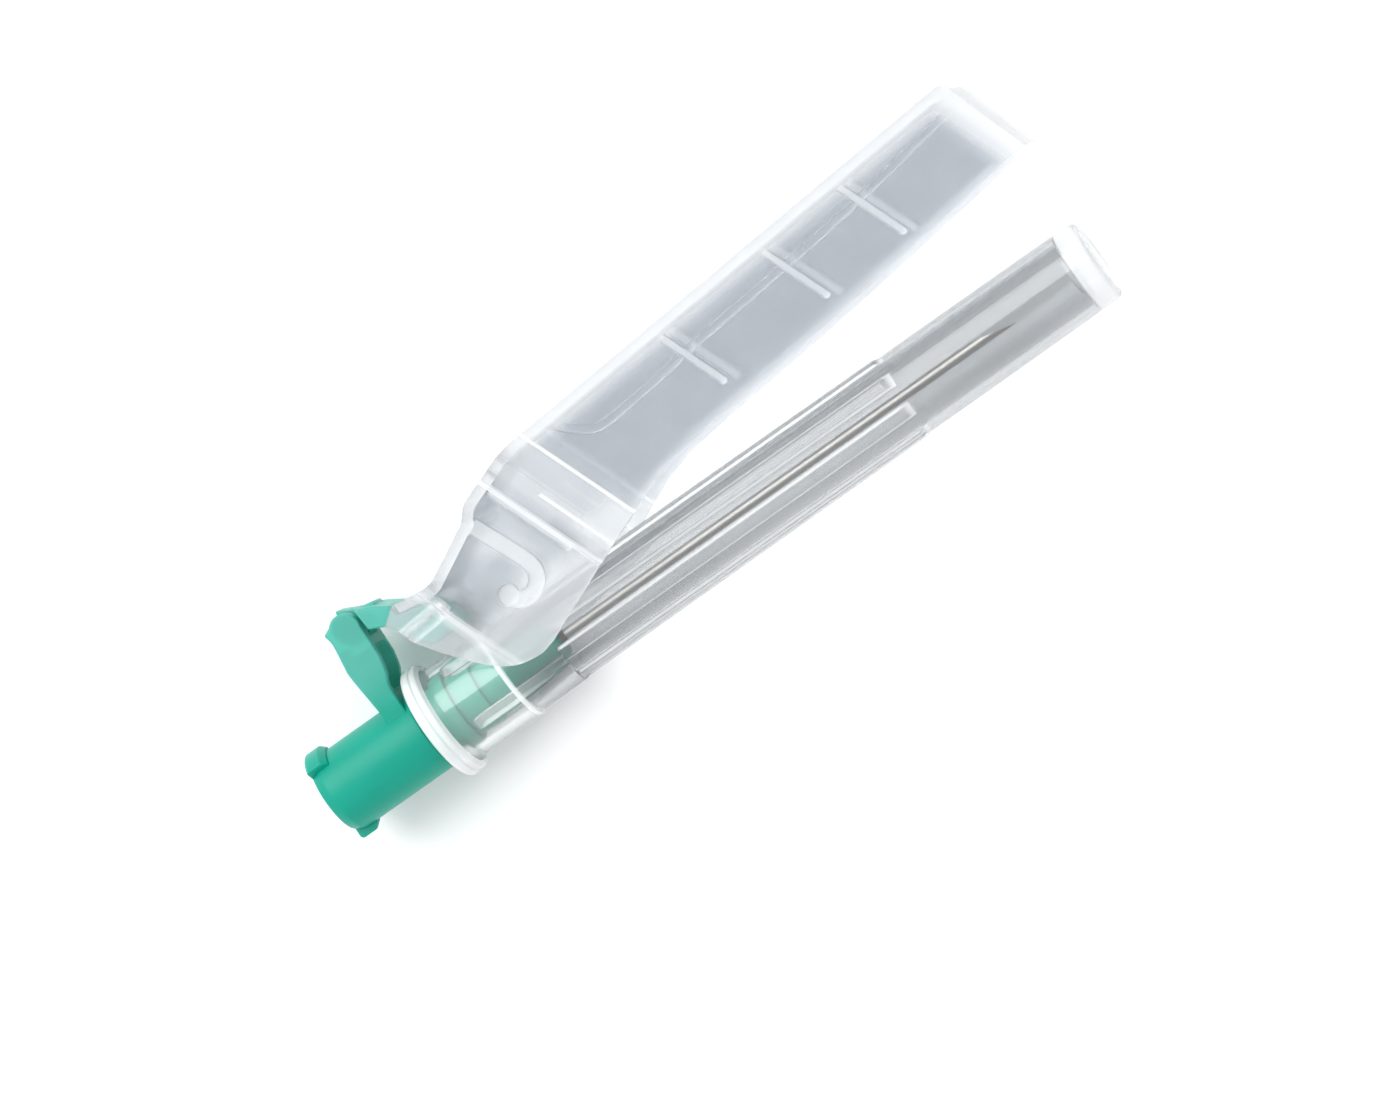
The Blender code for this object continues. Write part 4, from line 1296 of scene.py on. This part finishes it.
@dataclass
class Studio:
    """Pale floor, soft lights and the camera.

    Attributes:
        target: point that the camera looks at, in metres.
        direction: direction from the target to the camera.
        roll: angle in the picture from level to the needle's axis, in radians.
        distance: distance of the camera from the target, in metres.
        focal_px: focal length in pixels of the picture.
        picture_width: width of the picture in pixels.
    """

    target: Vector
    direction: Vector
    roll: float
    distance: float
    focal_px: float
    picture_width: float = 1379.0

    def camera(self) -> Object:
        """Makes the camera, sets it as the scene's and gives it back."""
        away = self.direction.normalized()
        along = Vector((1, 0, 0))
        along = (along - away * along.dot(away)).normalized()
        across = away.cross(along)
        right = math.cos(self.roll) * along - math.sin(self.roll) * across
        up = math.sin(self.roll) * along + math.cos(self.roll) * across
        data = bpy.data.cameras.new("camera")
        data.sensor_width = 36.0
        data.lens = self.focal_px / self.picture_width * data.sensor_width
        data.clip_start = 0.01
        data.clip_end = 10.0
        made = put("camera", data)
        place = Matrix((right, up, away)).transposed().to_4x4()
        place.translation = self.target + away * self.distance
        made.matrix_world = place
        bpy.context.scene.camera = made
        return made

    def floor(self) -> Object:
        """Makes the floor and gives it back."""
        bm = bmesh.new()
        bmesh.ops.create_grid(bm, x_segments=1, y_segments=1, size=1.5)
        made = shape("floor", bm)
        finish, shader = new_material("floor_paper")
        set_inputs(shader, {"Base Color": (0.92, 0.92, 0.92, 1.0), "Roughness": 0.9})
        for skin in Skin:
            made.data.materials[skin.value] = finish
        return made

    def light(self, name: str, place: Vector, size: float, watts: float) -> Object:
        """Makes a square soft light that points at the target.

        Args:
            name: name of the light.
            place: where it stands, from the target.
            size: length of its side, in metres.
            watts: its power.

        Returns:
            The light's object.
        """
        data = bpy.data.lights.new(name, "AREA")
        data.size = size
        data.energy = watts
        made = put(name, data)
        made.location = self.target + place
        made.rotation_euler = place.to_track_quat("Z", "Y").to_euler()
        return made

    def world(self, strength: float) -> None:
        """Sets the plain world light.

        Args:
            strength: strength of the light.
        """
        made = bpy.data.worlds.new("studio")
        made.use_nodes = True
        set_inputs(made.node_tree.nodes["Background"], {"Color": (0.98, 0.985, 1.0, 1.0),
                                                        "Strength": strength})
        bpy.context.scene.world = made


def main() -> None:
    """Builds the scene."""
    logging.basicConfig(level=logging.INFO, format="%(name)s: %(message)s")
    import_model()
    place = Place.read()
    target = place.needle() @ Vector((33.677, -0.515, 0.005))
    studio = Studio(target, direction=Vector((0.1876, -0.0207, 0.982)), roll=math.radians(35.176),
                    distance=0.459, focal_px=6056.9)
    studio.camera()
    studio.floor()
    studio.world(strength=0.95)
    studio.light("key", Vector((-0.15, 0.35, 0.5)), size=0.5, watts=3.0)
    # The paler green where the painted_light attribute is high paints the light that shines through the hub's
    # thin arm.
    green = Moulding("green_polypropylene", (0.0005, 0.37, 0.26), (0.004, 0.42, 0.31), roughness=0.4,
                     passes=0.25, painted_light_colour=(0.11, 0.58, 0.48), painted_light_passes=0.45, glow=0.35, gleam=0.2).make()
    # Lighter copy of the green, painted light for the light that shines through the thin link.
    lit_green = Moulding("lit_thin_green_polypropylene", (0.08, 0.56, 0.46), (0.13, 0.62, 0.52), roughness=0.35,
                    passes=0.45, glow=0.3, gleam=0.3).make()
    # Besides the plastics' own tint, the grey base colours of the frosted and clear plastics paint the shade
    # that the shield's and cap's own shadows would give, as these pieces cast no shadows.
    frosted = Moulding("frosted_polypropylene", (0.59, 0.615, 0.645), (0.66, 0.685, 0.71), roughness=0.16,
                       passes=0.95, painted_light_colour=(0.84, 0.855, 0.865), painted_light_passes=0.55, bump=0.000001).make()
    # Whiter copy of the frosted plastic, painted on as highlights on rib flanks, the hook, the bead and the
    # creases.
    rib = Moulding("frosted_rib_highlight", (0.82, 0.84, 0.85), (0.88, 0.89, 0.90), roughness=0.3, passes=0.4).make()
    verge = Moulding("frosted_rim", (0.62, 0.64, 0.66), (0.70, 0.72, 0.74), roughness=0.25, passes=0.6).make()
    # Clouds stretched along the cap paint streaks of refracted light as well as an uneven tone.
    clear = Moulding("clear_polypropylene", (0.50, 0.515, 0.53), (0.68, 0.695, 0.70), roughness=0.12,
                     passes=0.97, painted_light_colour=(0.82, 0.83, 0.835), painted_light_passes=0.45, streaking=8.0,
                     bump=0.0000004).make()
    # Near-white copy of the clear plastic, painted on as highlights on the flange's rim and the base's ring.
    clear_highlight = Moulding("clear_rim_highlight", (0.93, 0.95, 0.945), (0.96, 0.97, 0.965), roughness=0.2, passes=0.3).make()
    base = Moulding("clear_base", (0.84, 0.87, 0.865), (0.91, 0.93, 0.925), roughness=0.09, passes=0.96,
                    painted_light_colour=(0.92, 0.94, 0.935), painted_light_passes=0.45, bump=0.0000004).make()
    steel = DrawnSteel("stainless_steel", (0.68, 0.66, 0.63), (0.50, 0.47, 0.44), roughness=0.42).make()
    glue = Moulding("cured_adhesive", (0.9, 0.9, 0.8), (0.93, 0.93, 0.85), roughness=0.1, passes=0.9).make()
    Hub(place, "hub", "hub", "green_polypropylene", [green]).build()
    HingeLink(place, "hinge_link", "shield", "green_polypropylene", [lit_green]).build()
    sheer = [Shield(place, "shield", "shield", "frosted_polypropylene", [frosted, rib, verge]).build(),
             NeedleCap(place, "cap", "cap", "clear_polypropylene", [clear, clear_highlight, base]).build()]
    for piece in sheer:
        piece.visible_shadow = False
    Cannula(place, "cannula", "hub", "stainless_steel", [steel]).build()
    Adhesive(place, "adhesive", "hub", "cured_adhesive", [glue]).build()
    bpy.context.scene.view_settings.view_transform = "Standard"


if __name__ == "__main__":
    main()
